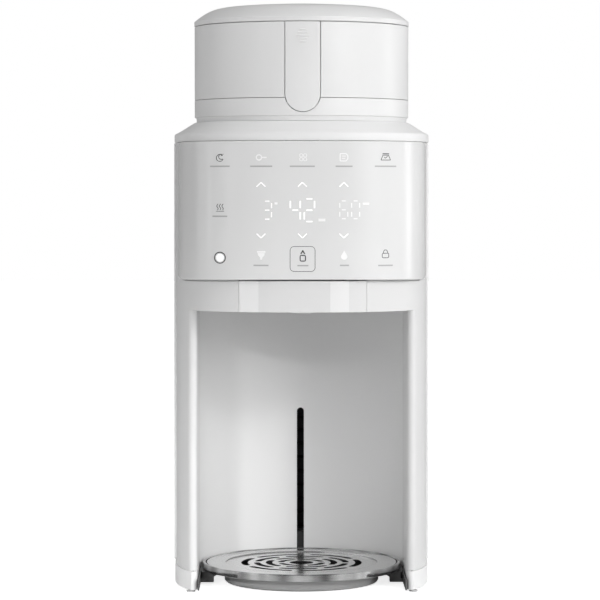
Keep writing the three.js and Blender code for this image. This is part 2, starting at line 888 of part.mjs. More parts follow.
const drumWall = 2.2;
const drumHeight = 49.1;
const neckHeight = 2.4;
const ringHeight = 13.6;
const ringBottom = shoulderTop + neckHeight;
const ringTop = ringBottom + ringHeight;
const drumTop = ringTop + gap + drumHeight;
const ringChamfer = 1.6;
const neckStep = 1.7;
const ringSeat = 7.5;
const seatInner = drumRadius - ringSeat;
const spigotOuter = seatHole - 2 * gap;
const spigotWall = 3;
const spigotDepth = 6;
const spigotBottom = shoulderTop - spigotDepth;
const outletThickness = 2.4;
const plateLow = ringBottom - gap;
const plateHigh = plateLow + outletThickness;
const latchHalf = 11.6;
const latchRise = 3.6;
const latchBottom = ringBottom + latchRise;
const latchGap = 0.45;
const pivotRise = 6;
const latchPivotZ = latchBottom + pivotRise;
const latchPivotIn = 5.4;
const pivotPin = 1.2;
const postHalf = 7.5;
const postThickness = 3;
const bowlInset = 9;
const bowlRadius = drumRadius - bowlInset;
const bowlWall = 2.2;
const wheelHeight = 11.6;
const wheelLow = plateHigh + gap;
const wheelHigh = wheelLow + wheelHeight;
const bowlFloorLow = wheelHigh + gap;
const bowlFloorHigh = bowlFloorLow + bowlWall;
const bowlRim = 2.4;
const coneHeight = 8.5;
const coneTop = bowlFloorHigh + coneHeight;
const coneRun = 7.5;
const coneStart = bowlRadius - coneRun;
const meterReach = chuteReach;
const meterHole = 8;

// The latch's outline seen from the front, drawn in or out by an offset
function latchOutline(offset, top) {
  const half = latchHalf + offset;
  return [
    ...arc(0, latchBottom + latchHalf, half, -Math.PI, 0, curveSteps / 2),
    new THREE.Vector2(half, top),
    new THREE.Vector2(-half, top),
  ];
}

const pivotY = axisY - drumRadius + latchPivotIn;

// How far the drum's curve falls back at the latch's edges, and where its window ends
const latchSag = drumRadius - Math.sqrt(drumRadius ** 2 - latchHalf ** 2);
const latchBack = axisY - drumRadius + drumWall + latchGap + latchSag;

function makeHopperBase() {
  const low = shoulderTop + gap;
  const body = turned(
    [
      [shaftRadius + gap, plateLow],
      [spigotOuter - spigotWall, plateLow],
      [spigotOuter - spigotWall, spigotBottom],
      [spigotOuter, spigotBottom],
      [spigotOuter, plateLow],
      [seatInner, plateLow],
      [seatInner, low],
      [drumRadius - neckStep, low],
      [drumRadius - neckStep, ringBottom],
      [drumRadius, ringBottom + ringChamfer],
      [drumRadius, ringTop],
      [drumRadius - drumWall, ringTop],
      [drumRadius - drumWall, plateHigh],
      [shaftRadius + gap, plateHigh],
      [shaftRadius + gap, plateLow],
    ],
    0,
    axisY,
    largeTurn,
  );
  const notch = prismAlongY(
    latchOutline(latchGap, drumTop),
    frontY - overrun,
    latchBack,
  );
  const outlet = rod(0, axisY - meterReach, meterHole, plateLow - overrun, plateHigh + overrun, mediumTurn);
  const posts = mirrored((side) => {
    const [left, right] = span(side, postHalf, postHalf + postThickness);
    return cut(
      block(
        left,
        right,
        pivotY - 2 * pivotPin,
        pivotY + 2 * pivotPin,
        plateHigh - gap,
        latchPivotZ + 2 * pivotPin,
      ),
      crossRod(left - overrun, right + overrun, pivotY, latchPivotZ, pivotPin + gap / 2),
    );
  });
  return join(cut(body, notch, outlet), ...posts);
}

const hookHalf = 5;
const hookRise = 1.6;
const hookDrop = 8.4;
const hookTop = drumTop + hookRise;
const hookRoot = drumTop - hookDrop;
const stemDepth = 1.7;
const stemInset = 3.1;
const stemOuter = drumRadius - stemInset;
const lugHalf = 5.5;
const springRoom = 3;

function makeDrum() {
  const body = turned(
    [
      [drumRadius, ringTop + gap],
      [drumRadius, drumTop],
      [bowlRadius, drumTop],
      [bowlRadius, coneTop],
      [coneStart, bowlFloorHigh],
      [shaftRadius + gap, bowlFloorHigh],
      [shaftRadius + gap, bowlFloorLow],
      [coneStart + bowlWall / 2, bowlFloorLow],
      [bowlRadius + bowlWall, coneTop - bowlWall / 2],
      [bowlRadius + bowlWall, drumTop - bowlRim],
      [drumRadius - drumWall, drumTop - bowlRim],
      [drumRadius - drumWall, ringTop + gap],
      [drumRadius, ringTop + gap],
    ],
    0,
    axisY,
    largeTurn,
  );
  const latchWindow = prismAlongY(
    latchOutline(latchGap, drumTop + overrun),
    frontY - overrun,
    latchBack,
  );
  const inlet = rod(
    0,
    axisY + meterReach,
    meterHole,
    bowlFloorLow - overrun,
    bowlFloorHigh + overrun,
    mediumTurn,
  );
  const rimSlot = block(
    -latchHalf - latchGap,
    latchHalf + latchGap,
    axisY - drumRadius - overrun,
    axisY - bowlRadius,
    drumTop - bowlRim - overrun,
    drumTop + overrun,
  );
  const bowlOutside = bowlRadius + bowlWall;
  const rimRoom = cut(rimSlot, rod(0, axisY, bowlOutside, 0, drumTop + 2 * overrun, largeTurn));
  const knuckles = mirrored((side) => {
    const [left, right] = span(side, hingeHalf + gap, 2 * hingeHalf);
    const ear = join(
      crossRod(left, right, hingeY, hingeZ, knuckleRadius),
      block(left, right, axisY + drumRadius - drumWall, hingeY, hingeZ - 2 * knuckleRadius, hingeZ),
    );
    return cut(ear, rod(0, axisY, drumRadius - drumWall / 2, 0, hookTop, largeTurn), boreOfHinge());
  });
  const upper = block(-bodyHalf, bodyHalf, axisY, rearY, drumTop, hookTop);
  return join(cut(body, latchWindow, inlet, rimRoom), ...knuckles.map((k) => cut(k, lidClear(upper))));
}

const hingeHalf = 8;
const knuckleRadius = 3;
const hingePin = 1.5;
const hingeY = axisY + drumRadius + knuckleRadius + 2 * gap;
const hingeRise = 1.6;
const hingeZ = drumTop + hingeRise;

const boreOfHinge = () =>
  crossRod(-3 * hingeHalf, 3 * hingeHalf, hingeY, hingeZ, hingePin + gap / 2);

// Keeps the drum's hinge ears clear of the lid's rim above the seam
function lidClear(upper) {
  return upper.intersect(rod(0, axisY, lidRadius + 2 * gap, 0, hookTop + overrun, largeTurn));
}

const lidOver = 0.2;
const lidRadius = drumRadius + lidOver;
const lidSeam = 0.6;
const lidBottom = drumTop + lidSeam;
const lidHeight = 15.4;
const lidTop = lidBottom + lidHeight;
const lidWall = 2.4;
const plugWall = 1.8;
const plugDepth = 6;
const plugRoom = 2.5;
const plugRadius = bowlRadius - plugRoom;
const plugBottom = lidBottom - plugDepth;
const sealGap = 0.4;
const sealRise = 1;
const sealHeight = 3.5;
const sealRadius = bowlRadius - sealGap;
const sealLow = plugBottom + sealRise;
const sealHigh = sealLow + sealHeight;

// The lid's rounded edge: radius and height at each step, as shares of the lid's own
const lidProfileShares = [[1, 0.1], [0.94, 0.4], [0.825, 0.72], [0.6, 0.84]];

function makeLid() {
  const profile = lidProfileShares.map(([reach, rise]) => [
    lidRadius * reach,
    lidBottom + lidHeight * rise,
  ]);
  const outer = [[lidRadius, lidBottom], ...profile, [0, lidTop]];
  const shift = lidWall * Math.SQRT1_2;
  const [rim, ...crown] = profile;
  const dome = turned(
    [
      ...outer,
      [0, lidTop - lidWall],
      ...crown.reverse().map(([radius, z]) => [radius - shift, z - shift]),
      [lidRadius - lidWall, rim[1] - shift / 2],
      [lidRadius - lidWall, lidBottom],
      [lidRadius, lidBottom],
    ],
    0,
    axisY,
    largeTurn,
  );
  const plug = tube(0, axisY, plugRadius - plugWall, plugRadius, plugBottom, lidTop, largeTurn);
  const within = turned(
    [
      [0, 0],
      [lidRadius - lidWall, 0],
      ...outer.slice(0, -1).map(([radius, z]) => [radius - lidWall / 2, z - lidWall / 2]),
      [0, lidTop - lidWall / 2],
    ],
    0,
    axisY,
    largeTurn,
  );
  const knuckle = cut(
    join(
      crossRod(-hingeHalf + gap, hingeHalf - gap, hingeY, hingeZ, knuckleRadius),
      block(
        -hingeHalf + gap,
        hingeHalf - gap,
        axisY + lidRadius - lidWall / 2,
        hingeY,
        hingeZ - gap,
        hingeZ + knuckleRadius,
      ),
    ),
    boreOfHinge(),
  );
  return join(dome, plug.intersect(within), knuckle);
}

function makeLatch() {
  const shell = tube(
    0,
    axisY,
    drumRadius - drumWall + gap,
    drumRadius,
    latchBottom - overrun,
    drumTop,
    largeTurn,
  ).intersect(prismAlongY(latchOutline(0, drumTop), frontY, axisY));
  const stemBack = axisY - stemOuter + stemDepth;
  const stem = join(
    block(-hookHalf, hookHalf, axisY - stemOuter, stemBack, hookRoot, hookTop),
    block(-hookHalf, hookHalf, axisY - drumRadius + drumWall / 2, stemBack, hookRoot, drumTop),
  );
  const lug = cut(
    join(
      crossRod(-lugHalf, lugHalf, pivotY, latchPivotZ, 2 * pivotPin),
      block(
        -lugHalf,
        lugHalf,
        axisY - drumRadius + drumWall / 2,
        pivotY,
        latchPivotZ - pivotPin,
        latchPivotZ + pivotPin,
      ),
    ),
    crossRod(-2 * lugHalf, 2 * lugHalf, pivotY, latchPivotZ, pivotPin + gap / 2),
    block(
      -lugHalf / 2,
      lugHalf / 2,
      pivotY - springRoom,
      rearY,
      latchPivotZ - springRoom,
      latchPivotZ + springRoom,
    ),
  );
  return join(shell, stem, lug);
}

// Torsion spring round the latch's pin, between the two halves of its lug
const springWire = 0.4;
const springTurns = 3;
const coilFacets = 8;
const wireSides = 4;

function makeLatchSpring() {
  const radius = pivotPin + springWire + gap;
  const half = lugHalf / 2 - springWire - gap;
  const steps = springTurns * coilFacets;
  const points = Array.from({ length: steps + 1 }, (_, i) => {
    const angle = (2 * Math.PI * i) / coilFacets;
    const x = -half + (2 * half * i) / steps;
    return new THREE.Vector3(
      x,
      pivotY + radius * Math.cos(angle),
      latchPivotZ + radius * Math.sin(angle),
    );
  });
  const curve = new THREE.CatmullRomCurve3(points);
  const section = new THREE.Shape(ringPoints(0, 0, springWire, wireSides));
  return solidOf(new THREE.ExtrudeGeometry(section, { extrudePath: curve, steps }));
}

// Metering wheel: eight pockets between spokes carry powder from the inlet to the outlet
const wheelRim = 4;
const wheelSpokes = 8;
const pocketInner = meterReach - meterHole;
const pocketOuter = meterReach + meterHole;
const wheelRadius = pocketOuter + wheelRim;
const spokeWidth = 2.4;
const pocketSteps = 4;

function makeMeteringWheel() {
  const pockets = Array.from({ length: wheelSpokes }, (_, i) => {
    const middle = (2 * Math.PI * (i + 1 / 2)) / wheelSpokes;
    const reach = Math.PI / wheelSpokes;
    const outerHalf = reach - spokeWidth / 2 / pocketOuter;
    const innerHalf = reach - spokeWidth / 2 / pocketInner;
    return [
      ...arc(0, axisY, pocketOuter, middle - outerHalf, middle + outerHalf, pocketSteps),
      ...arc(0, axisY, pocketInner, middle + innerHalf, middle - innerHalf, pocketSteps / 2),
    ];
  });
  const bore = ringPoints(0, axisY, shaftRadius + gap, smallTurn);
  const rim = ringPoints(0, axisY, wheelRadius, insideTurn);
  return prism(rim, wheelLow, wheelHigh, [bore, ...pockets]);
}

// Stirrer: three curved paddles on a hub above the bowl's floor
const stirrerHub = 9;
const stirrerClear = 5;
const stirrerReach = coneStart - stirrerClear;
const paddleThickness = 4;
const paddleCount = 3;
const paddleBend = 18;
const paddleSteps = 6;
const shaftLow = deckTop + gap;
const shaftHigh = bowlFloorHigh + stirrerHub + 2 * gap;

function makeStirrer() {
  const low = bowlFloorHigh + gap;
  const hub = tube(0, axisY, shaftRadius + gap, stirrerHub, low, low + stirrerHub, mediumTurn);
  const root = stirrerHub - gap;
  const paddles = Array.from({ length: paddleCount }, (_, i) => {
    const turn = (2 * Math.PI * i) / paddleCount;
    const centreLine = Array.from({ length: paddleSteps + 1 }, (_, k) => {
      const along = root + ((stirrerReach - root) * k) / paddleSteps;
      return [along, paddleBend * (k / paddleSteps) ** 2];
    });
    const side = (offset) =>
      centreLine.map(([x, y]) => {
        const [c, s] = [Math.cos(turn), Math.sin(turn)];
        return new THREE.Vector2(x * c - (y + offset) * s, axisY + x * s + (y + offset) * c);
      });
    const outline = [...side(-paddleThickness / 2), ...side(paddleThickness / 2).reverse()];
    return prism(outline, low, low + paddleThickness);
  });
  return join(hub, ...paddles);
}

// Tray: ring with its arm, cup and grille

const trayRise = 0.4;
const trayHeight = 4.8;
const trayBottom = landTop + trayRise;
const trayTop = trayBottom + trayHeight;
const ringWall = 1.8;
const cupRoom = 1.1;
const ringInner = cupRadius + cupRoom;
const trayFloor = 1.1;
const armThickness = 3.4;
const armInset = 0.1;
const armBottom = trayBottom + armInset;
const armTop = trayTop - 2 * armInset;
const gussetTop = 25;
const sliderLow = 6;
const sliderHeight = 20;
const sliderHigh = sliderLow + sliderHeight;
const sliderHalf = 19.5;

function makeTrayRing() {
  const ring = turned(
    [
      [ringInner, trayBottom],
      [trayRadius, trayBottom],
      [trayRadius, trayTop],
      [trayRadius - ringWall, trayTop],
      [trayRadius - ringWall, trayBottom + trayFloor],
      [ringInner, trayBottom + trayFloor],
      [ringInner, trayBottom],
    ],
    0,
    axisY,
    largeTurn,
  );
  const behind = axisY + alcoveHalf + wall;
  const arm = prismAlongX(
    [
      new THREE.Vector2(axisY + trayRadius - ringWall / 2, armBottom),
      new THREE.Vector2(sliderFront - gap, armBottom),
      new THREE.Vector2(sliderFront - gap, gussetTop),
      new THREE.Vector2(behind + 2 * gap, gussetTop),
      new THREE.Vector2(behind + 2 * gap, armTop),
      new THREE.Vector2(axisY + trayRadius - ringWall / 2, armTop),
    ],
    -armThickness / 2,
    armThickness / 2,
  );
  return join(ring, arm);
}

const cupWall = 1.6;
const cupBottom = 0.6;
const flangeWidth = 6.7;
const cupFlange = cupRadius + flangeWidth;

const cupEdge = 5;

function makeCup() {
  const flangeLow = trayBottom + trayFloor + gap;
  const flangeHigh = flangeLow + cupWall / 2;
  return turned(
    [
      [0, cupBottom],
      [cupRadius - cupEdge, cupBottom],
      [cupRadius, cupBottom + cupEdge / 2],
      [cupRadius, flangeLow],
      [cupFlange, flangeLow],
      [cupFlange, flangeHigh],
      [cupRadius - cupWall, flangeHigh],
      [cupRadius - cupWall, cupBottom + cupEdge / 2 + cupWall / 2],
      [cupRadius - cupEdge, cupBottom + cupWall],
      [0, cupBottom + cupWall],
    ],
    0,
    axisY,
    largeTurn,
  );
}

// Grille: a plate with a sunk middle and rings of arc slots, staggered ring by ring
const plateEdgeGap = 0.7;
const plateThickness = 1;
const plateDrop = 0.3;
const sunkInset = 0.7;
const sunkRadius = cupRadius - sunkInset;
const sunkDepth = 0.9;
const lipWidth = 1.2;
const centreHole = 7;
const slotRingShares = [0.238, 0.39, 0.542, 0.703];
const slotRingCounts = [4, 4, 6, 6];
const arcSlotWidth = 4;
const bridgeWidth = 5;
const slotSteps = 4;

function arcSlot(inner, outer, middle, reach, steps) {
  const radius = (outer - inner) / 2;
  const centre = (outer + inner) / 2;
  const [from, to] = [middle - reach + radius / centre, middle + reach - radius / centre];
  const endCap = (angle, turn) =>
    arc(centre * Math.cos(angle), axisY + centre * Math.sin(angle), radius, turn, turn + Math.PI, 2);
  return [
    ...arc(0, axisY, outer, from, to, steps),
    ...endCap(to, to).slice(1, -1),
    ...arc(0, axisY, inner, to, from, steps),
    ...endCap(from, from + Math.PI).slice(1, -1),
  ];
}

function makeGrille() {
  const outer = trayRadius - ringWall - plateEdgeGap;
  const top = trayTop - plateDrop;
  const low = top - plateThickness;
  const sunkTop = top - sunkDepth;
  const rest = trayBottom + trayFloor + gap;
  const rim = turned(
    [
      [sunkRadius - plateThickness, sunkTop - plateThickness],
      [sunkRadius, sunkTop - plateThickness],
      [sunkRadius + plateThickness, low],
      [outer - lipWidth, low],
      [outer - lipWidth, rest],
      [outer, rest],
      [outer, top],
      [sunkRadius, top],
      [sunkRadius, sunkTop],
      [sunkRadius - plateThickness, sunkTop],
      [sunkRadius - plateThickness, sunkTop - plateThickness],
    ],
    0,
    axisY,
    largeTurn,
  );
  const slots = slotRingShares.flatMap((share, level) => {
    const inner = sunkRadius * share;
    const outside = inner + arcSlotWidth;
    const step = (2 * Math.PI) / slotRingCounts[level];
    const reach = step / 2 - bridgeWidth / (inner + outside);
    return Array.from({ length: slotRingCounts[level] }, (_, i) =>
      arcSlot(inner, outside, step * (i + (level % 2) / 2), reach, slotSteps),
    );
  });
  const hole = ringPoints(0, axisY, centreHole, mediumTurn);
  const disc = prism(
    ringPoints(0, axisY, sunkRadius - plateThickness / 2, largeTurn),
    sunkTop - plateThickness,
    sunkTop,
    [hole, ...slots],
  );
  return join(rim, disc);
}

// Slider on the two rods, its plunger and the notched strip

const plungerRadius = 2;
const plungerZ = (sliderLow + sliderHigh) / 2;
const stripHalf = 5;
const stripThickness = 3;
const notchPitch = 10;
const notchDepth = 1.2;
const stripFront = bayY - gap - wall - gap - stripThickness;

function makeSlider() {
  const body = block(-sliderHalf, sliderHalf, sliderFront, sliderBack, sliderLow, sliderHigh);
  const bores = mirrored((side) =>
    rod(side * rodSpread, rodY, rodRadius + gap, sliderLow - overrun, sliderHigh + overrun, mediumTurn),
  );
  const pocketFront = sliderBack - 3 * plungerRadius;
  const pocket = lengthRod(0, pocketFront, sliderBack + overrun, plungerZ, plungerRadius + gap);
  return cut(body, ...bores, pocket);
}

function makeDetentStrip() {
  const low = skirtBottom + floorThickness + gap;
  const high = shelfLow;
  const back = stripFront + stripThickness;
  const notches = [];
  for (let z = plungerZ; z < high - notchPitch; z += notchPitch) {
    notches.push(
      new THREE.Vector2(stripFront, z - notchDepth),
      new THREE.Vector2(stripFront + notchDepth, z),
      new THREE.Vector2(stripFront, z + notchDepth),
    );
  }
  const outline = [
    new THREE.Vector2(back, high),
    new THREE.Vector2(back, low),
    new THREE.Vector2(stripFront, low),
    ...notches,
    new THREE.Vector2(stripFront, high),
  ];
  return prismAlongX(outline, -stripHalf, stripHalf);
}

// Water side: tank, lid, valve, dock, pump, heater and hoses

const tankDrop = 7.3;
const tankTop = frameTop - tankDrop;
const tankWall = 2.4;
const tankLift = 0.6;
const tankFrontCorner = 4;
const tankSideClear = 1;
const valveHole = 5;
const stemRadius = 2;
const headRadius = 7.5;
const valveHead = 2;
const hingeDeck = 9;
const tankHingeLift = 0.4;
const tankHingeIn = 5;
const rollRadius = 2.8;
const rollHalf = 46;
const earThickness = 5;
const stubRadius = 1.5;
const lidPlate = 2.4;

const tankBottom = skirtTop + tankLift;
const tankHingeY = rearY - tankHingeIn;
const tankHingeZ = tankTop + gap + lidPlate + tankHingeLift;

function tankPlan(inset) {
  const half = bodyHalf - tankSideClear - inset;
  const front = bayY + gap + inset;
  const back = rearY - inset;
  const corner = (side, y, radius, turns, steps) =>
    arc(side * (half - radius), y, radius, turns * Math.PI, (turns + 1 / 2) * Math.PI, steps);
  const frontRadius = Math.max(tankFrontCorner - inset, gap);
  const rearRadius = rearCorner - inset;
  return [
    ...corner(1, front + frontRadius, frontRadius, -1 / 2, smallCornerSteps),
    ...corner(1, back - rearRadius, rearRadius, 0, cornerSteps),
    ...corner(-1, back - rearRadius, rearRadius, 1 / 2, cornerSteps),
    ...corner(-1, front + frontRadius, frontRadius, 1, smallCornerSteps),
  ];
}

function makeTank() {
  const shell = cut(
    prism(tankPlan(0), tankBottom, tankTop),
    prism(tankPlan(tankWall), tankBottom + tankWall, tankTop + overrun),
  );
  const deck = prism(tankPlan(tankWall / 2), tankTop - tankWall, tankTop).intersect(
    block(-bodyHalf, bodyHalf, rearY - hingeDeck, rearY, 0, shoulderTop),
  );
  const ears = mirrored((side) => {
    const [left, right] = span(side, rollHalf + gap, rollHalf + gap + earThickness);
    return cut(
      join(
        block(left, right, tankHingeY - rollRadius, tankHingeY + rollRadius, tankTop - gap, tankHingeZ),
        crossRod(left, right, tankHingeY, tankHingeZ, rollRadius),
      ),
      crossRod(left - overrun, right + overrun, tankHingeY, tankHingeZ, stubRadius + gap),
    );
  });
  const hole = rod(dockX, dockY, valveHole, 0, tankBottom + tankWall + overrun, mediumTurn);
  return join(cut(tapered(join(shell, deck)), hole), ...ears);
}

function makeTankLid() {
  const low = tankTop + gap;
  const high = low + lidPlate;
  const plate = prism(tankPlan(gap), low, high);
  const kept = cut(
    plate,
    block(-bodyHalf, bodyHalf, tankHingeY, rearY, low - overrun, high + overrun),
    ...mirrored((side) => {
      const [left, right] = span(side, rollHalf, bodyHalf);
      const front = tankHingeY - rollRadius - 2 * gap;
      return block(left, right, front, rearY, low - overrun, high + overrun);
    }),
  );
  const roll = crossRod(-rollHalf, rollHalf, tankHingeY, tankHingeZ, rollRadius);
  const stubs = crossRod(
    -rollHalf - earThickness,
    rollHalf + earThickness,
    tankHingeY,
    tankHingeZ,
    stubRadius,
  );
  return join(kept, roll, stubs);
}

const seatLow = tankBottom + tankWall + gap;
const cageHeight = 22.7;
const cageTop = seatLow + cageHeight;
const stemTop = cageTop + overrun;
const cageRadius = 11;
const cageWall = 1.8;
const springRadius = 4;
const tankSpringWire = 0.6;
const tankSpringTurns = 4;

function makeValve() {
  return turned(
    [
      [0, tankBottom + gap],
      [stemRadius, tankBottom + gap],
      [stemRadius, seatLow],
      [headRadius, seatLow],
      [headRadius, seatLow + valveHead],
      [stemRadius, seatLow + valveHead],
      [stemRadius, stemTop],
      [0, stemTop],
    ],
    dockX,
    dockY,
    smallTurn,
  );
}

// Cage: a bridge on two legs over the valve, with a hole that guides the stem
function makeValveCage() {
  const roof = tube(dockX, dockY, stemRadius + gap, cageRadius, cageTop - cageWall, cageTop, mediumTurn);
  const legs = mirrored((side) => {
    const [left, right] = span(side, headRadius + 2 * gap, cageRadius);
    const outer = rod(dockX, dockY, cageRadius, seatLow, cageTop, mediumTurn);
    return outer.intersect(
      block(dockX + left, dockX + right, dockY - 2 * cageWall, dockY + 2 * cageWall, seatLow, cageTop),
    );
  });
  return join(roof, ...legs);
}

function makeValveSpring() {
  const low = seatLow + valveHead + gap + tankSpringWire;
  const high = cageTop - cageWall - gap - tankSpringWire;
  const steps = tankSpringTurns * coilFacets;
  const points = Array.from({ length: steps + 1 }, (_, i) => {
    const angle = (2 * Math.PI * i) / coilFacets;
    return new THREE.Vector3(
      dockX + springRadius * Math.cos(angle),
      dockY + springRadius * Math.sin(angle),
      low + ((high - low) * i) / steps,
    );
  });
  const section = new THREE.Shape(ringPoints(0, 0, tankSpringWire, wireSides));
  const curve = new THREE.CatmullRomCurve3(points);
  return solidOf(new THREE.ExtrudeGeometry(section, { extrudePath: curve, steps }));
}

function makeDock() {
  const low = skirtBottom + floorThickness + gap;
  const cupFloor = skirtTop - 3 * wall + gap;
  const high = skirtTop + gap;
  const wallRadius = dockRadius - wall;
  return turned(
    [
      [0, low],
      [dockRadius, low],
      [dockRadius, high],
      [wallRadius, high],
      [wallRadius, cupFloor],
      [stemRadius, cupFloor],
      [stemRadius, tankBottom - gap / 2],
      [0, tankBottom - gap / 2],
    ],
    dockX,
    dockY,
    mediumTurn,
  );
}

const pumpFromSide = 30;
const pumpAhead = 6;
const pumpX = pumpFromSide - bodyHalf;
const pumpY = rodY - pumpAhead;
const pumpRadius = 14;
const pumpHeight = 46;
const hoseRadius = 2.6;
const hoseZ = 7.6;

function makePump() {
  const low = skirtBottom + floorThickness + gap;
  const head = pumpHeight / 3;
  return turned(
    [
      [0, low],
      [pumpRadius, low],
      [pumpRadius, low + head],
      [pumpRadius - wall, low + head + wall],
      [pumpRadius - wall, low + pumpHeight],
      [0, low + pumpHeight],
    ],
    pumpX,
    pumpY,
    mediumTurn,
  );
}

const heaterRoom = 16.4;
const heaterFromRail = 2.1;
const heaterBehindAxis = 24.5;
const heaterRadius = (frameHalf - wall - railOuter - heaterRoom) / 2;
const heaterX = -railOuter - heaterFromRail - heaterRadius;
const heaterY = axisY + heaterBehindAxis;
const heaterHeadroom = 45;
const heaterLow = beamBottom + ceilingThickness + gap;
const heaterHeight = motorTop - heaterLow - heaterHeadroom;
const portLength = 3;

function makeHeater() {
  const high = heaterLow + heaterHeight;
  const edge = wall;
  return turned(
    [
      [0, heaterLow],
      [heaterRadius, heaterLow],
      [heaterRadius, high - edge],
      [heaterRadius - edge, high],
      [hoseRadius, high],
      [hoseRadius, high + portLength],
      [0, high + portLength],
    ],
    heaterX,
    heaterY,
    mediumTurn,
  );
}

const hoseSides = 6;
const hoseSteps = 14;

function makePumpInletHose() {
  const start = dockY - dockRadius - gap;
  const end = pumpY + pumpRadius + gap;
  const middle = (start + end) / 2;
  return hose(
    [
      [dockX, start, hoseZ],
      [dockX, start - 2 * hoseRadius, hoseZ],
      [(dockX + pumpX) / 2, middle, hoseZ],
      [pumpX, end + 2 * hoseRadius, hoseZ],
      [pumpX, end, hoseZ],
    ],
    hoseRadius,
    hoseSides,
    hoseSteps,
  );
}

function makePumpOutletHose() {
  const start = skirtBottom + floorThickness + gap + pumpHeight + gap;
  const end = heaterY + heaterRadius + gap;
  const bend = 22;
  const level = heaterLow + heaterHeight / 2;
  return hose(
    [
      [pumpX, pumpY, start],
      [pumpX, pumpY, start + bend],
      [pumpX, pumpY, (start + level) / 2],
      [pumpX, pumpY, level - bend],
      [pumpX, (pumpY + end) / 2, level],
      [heaterX, end + 2 * hoseRadius, level],
      [heaterX, end, level],
    ],
    hoseRadius,
    hoseSides,
    hoseSteps,
  );
}

const nozzleRise = 13;
const nozzleTop = bridgeHigh + gap + nozzleRise;

function makeNozzle() {
  const flange = bridgeHigh + gap;
  return turned(
    [
      [nozzleRadius / 2, bridgeLow + gap],
      [nozzleRadius, bridgeLow + gap],
      [nozzleRadius, flange],
      [2 * nozzleRadius, flange],
      [2 * nozzleRadius, flange + wall],
      [nozzleRadius, flange + wall],
      [nozzleRadius, nozzleTop],
      [nozzleRadius / 2, nozzleTop],
      [nozzleRadius / 2, bridgeLow + gap],
    ],
    0,
    axisY + nozzleReach,
    smallTurn,
  );
}

function makeHeaterHose() {
  const start = heaterLow + heaterHeight + portLength + gap;
  const end = nozzleTop + gap;
  const nozzleY = axisY + nozzleReach;
  const rise = 14;
  return hose(
    [
      [heaterX, heaterY, start],
      [heaterX, heaterY, start + rise / 2],
      [heaterX + rise, heaterY, start + rise],
      [heaterX + 2 * rise, (heaterY + nozzleY) / 2, start],
      [-rise / 2, nozzleY, end + rise],
      [0, nozzleY, end + rise / 2],
      [0, nozzleY, end],
    ],
    hoseRadius,
    hoseSides,
    hoseSteps,
  );
}

// Power board on the rear wall and the inlet on the right-hand side

const powerBoardHalf = 44;
const powerBoardHeight = 66;
const powerBoardDrop = 15.3;
const powerBoardHigh = panelTop - powerBoardDrop;
const powerBoardLow = powerBoardHigh - powerBoardHeight;

// Parts on the power board: place across and up it, size and depth, as shares of its height
const powerPartShares = [
  [-0.45, 0.15, 0.24, 0.18],
  [-0.09, 0.21, 0.18, 0.14],
  [0.24, 0.12, 0.3, 0.11],
  [0.48, 0.61, 0.18, 0.15],
];

function makePowerBoard() {
  const back = bayY - gap - wall - gap;
  const front = back - boardThickness;
  const board = block(-powerBoardHalf, powerBoardHalf, front, back, powerBoardLow, powerBoardHigh);
  const parts = powerPartShares.map((shares) => {
    const [x, rise, size, depth] = shares.map((share) => share * powerBoardHeight);
    const [left, low] = [x - size / 2, powerBoardLow + rise - size / 2];
    return block(left, left + size, front - depth, front + boardThickness / 2, low, low + size);
  });
  return join(board, ...parts);
}

const inletPin = 1.2;
const inletPinSpread = 4.3;
const cavityInset = 2;
const inletFloor = 3;

function makePowerInlet() {
  const outer = bodyHalf - gap / 2;
  const inner = bodyHalf - inletDepth;
  const body = block(
    inner,
    outer,
    inletY - inletHalfWidth,
    inletY + inletHalfWidth,
    inletZ - inletHalfHeight,
    inletZ + inletHalfHeight,
  );
  const cavity = block(
    inner + inletFloor,
    outer + overrun,
    inletY - inletHalfWidth + cavityInset,
    inletY + inletHalfWidth - cavityInset,
    inletZ - inletHalfHeight + cavityInset,
    inletZ + inletHalfHeight - cavityInset,
  );
  const pins = mirrored((side) => {
    const pinY = inletY + side * inletPinSpread;
    return crossRod(inner + inletFloor / 2, outer - inletFloor, pinY, inletZ, inletPin, tinyTurn);
  });
  return join(cut(body, cavity), ...pins);
}

// Assembly

add("front_frame", tapered(makeFrontFrame()), whiteShell());
add("rear_shell", makeRearShell(), whiteShell());
add("top_cover", makeTopCover(), whiteShell());
add("base_skirt", makeBaseSkirt(), whiteShell());
add("base_plate", makeBasePlate(), darkPlastic());
makeFeet();
makeScrews();
add("alcove_liner", tapered(makeLiner()), whiteShell());
add("spout_carrier", makeSpoutCarrier(), whiteShell());
add("control_panel", tapered(makePanel()), panelGloss());
makeDisplay();
add("funnel_drawer", makeDrawer(), whiteShell());
add("mixing_funnel", makeFunnel(), whiteShell());

add("hopper_deck", makeDeck(), greyPlastic());
add("drive_motor", makeMotor(), steel());
add("motor_pinion", makePinion(), whiteShell());
add("powder_chute", makeChute(ringBottom - 3 * gap), whiteShell());

add("hopper_base", makeHopperBase(), whiteShell());
add("powder_drum", makeDrum(), whiteShell());
add("hopper_lid", makeLid(), whiteShell());
add("lid_seal", tube(0, axisY, plugRadius + gap, sealRadius, sealLow, sealHigh, largeTurn), rubber());
add("lid_hinge_pin", crossRod(-2 * hingeHalf, 2 * hingeHalf, hingeY, hingeZ, hingePin), steel());
add("latch_tab", makeLatch(), whiteShell());
add(
  "latch_pin",
  crossRod(-postHalf - postThickness, postHalf + postThickness, pivotY, latchPivotZ, pivotPin),
  steel(),
);
add("latch_spring", makeLatchSpring(), steel());
add("metering_wheel", makeMeteringWheel(), greyPlastic());
add("metering_shaft", rod(0, axisY, shaftRadius, shaftLow, shaftHigh, mediumTurn), steel());
add("drive_gear", makeDriveGear(), whiteShell());
add("stirrer", makeStirrer(), greyPlastic());

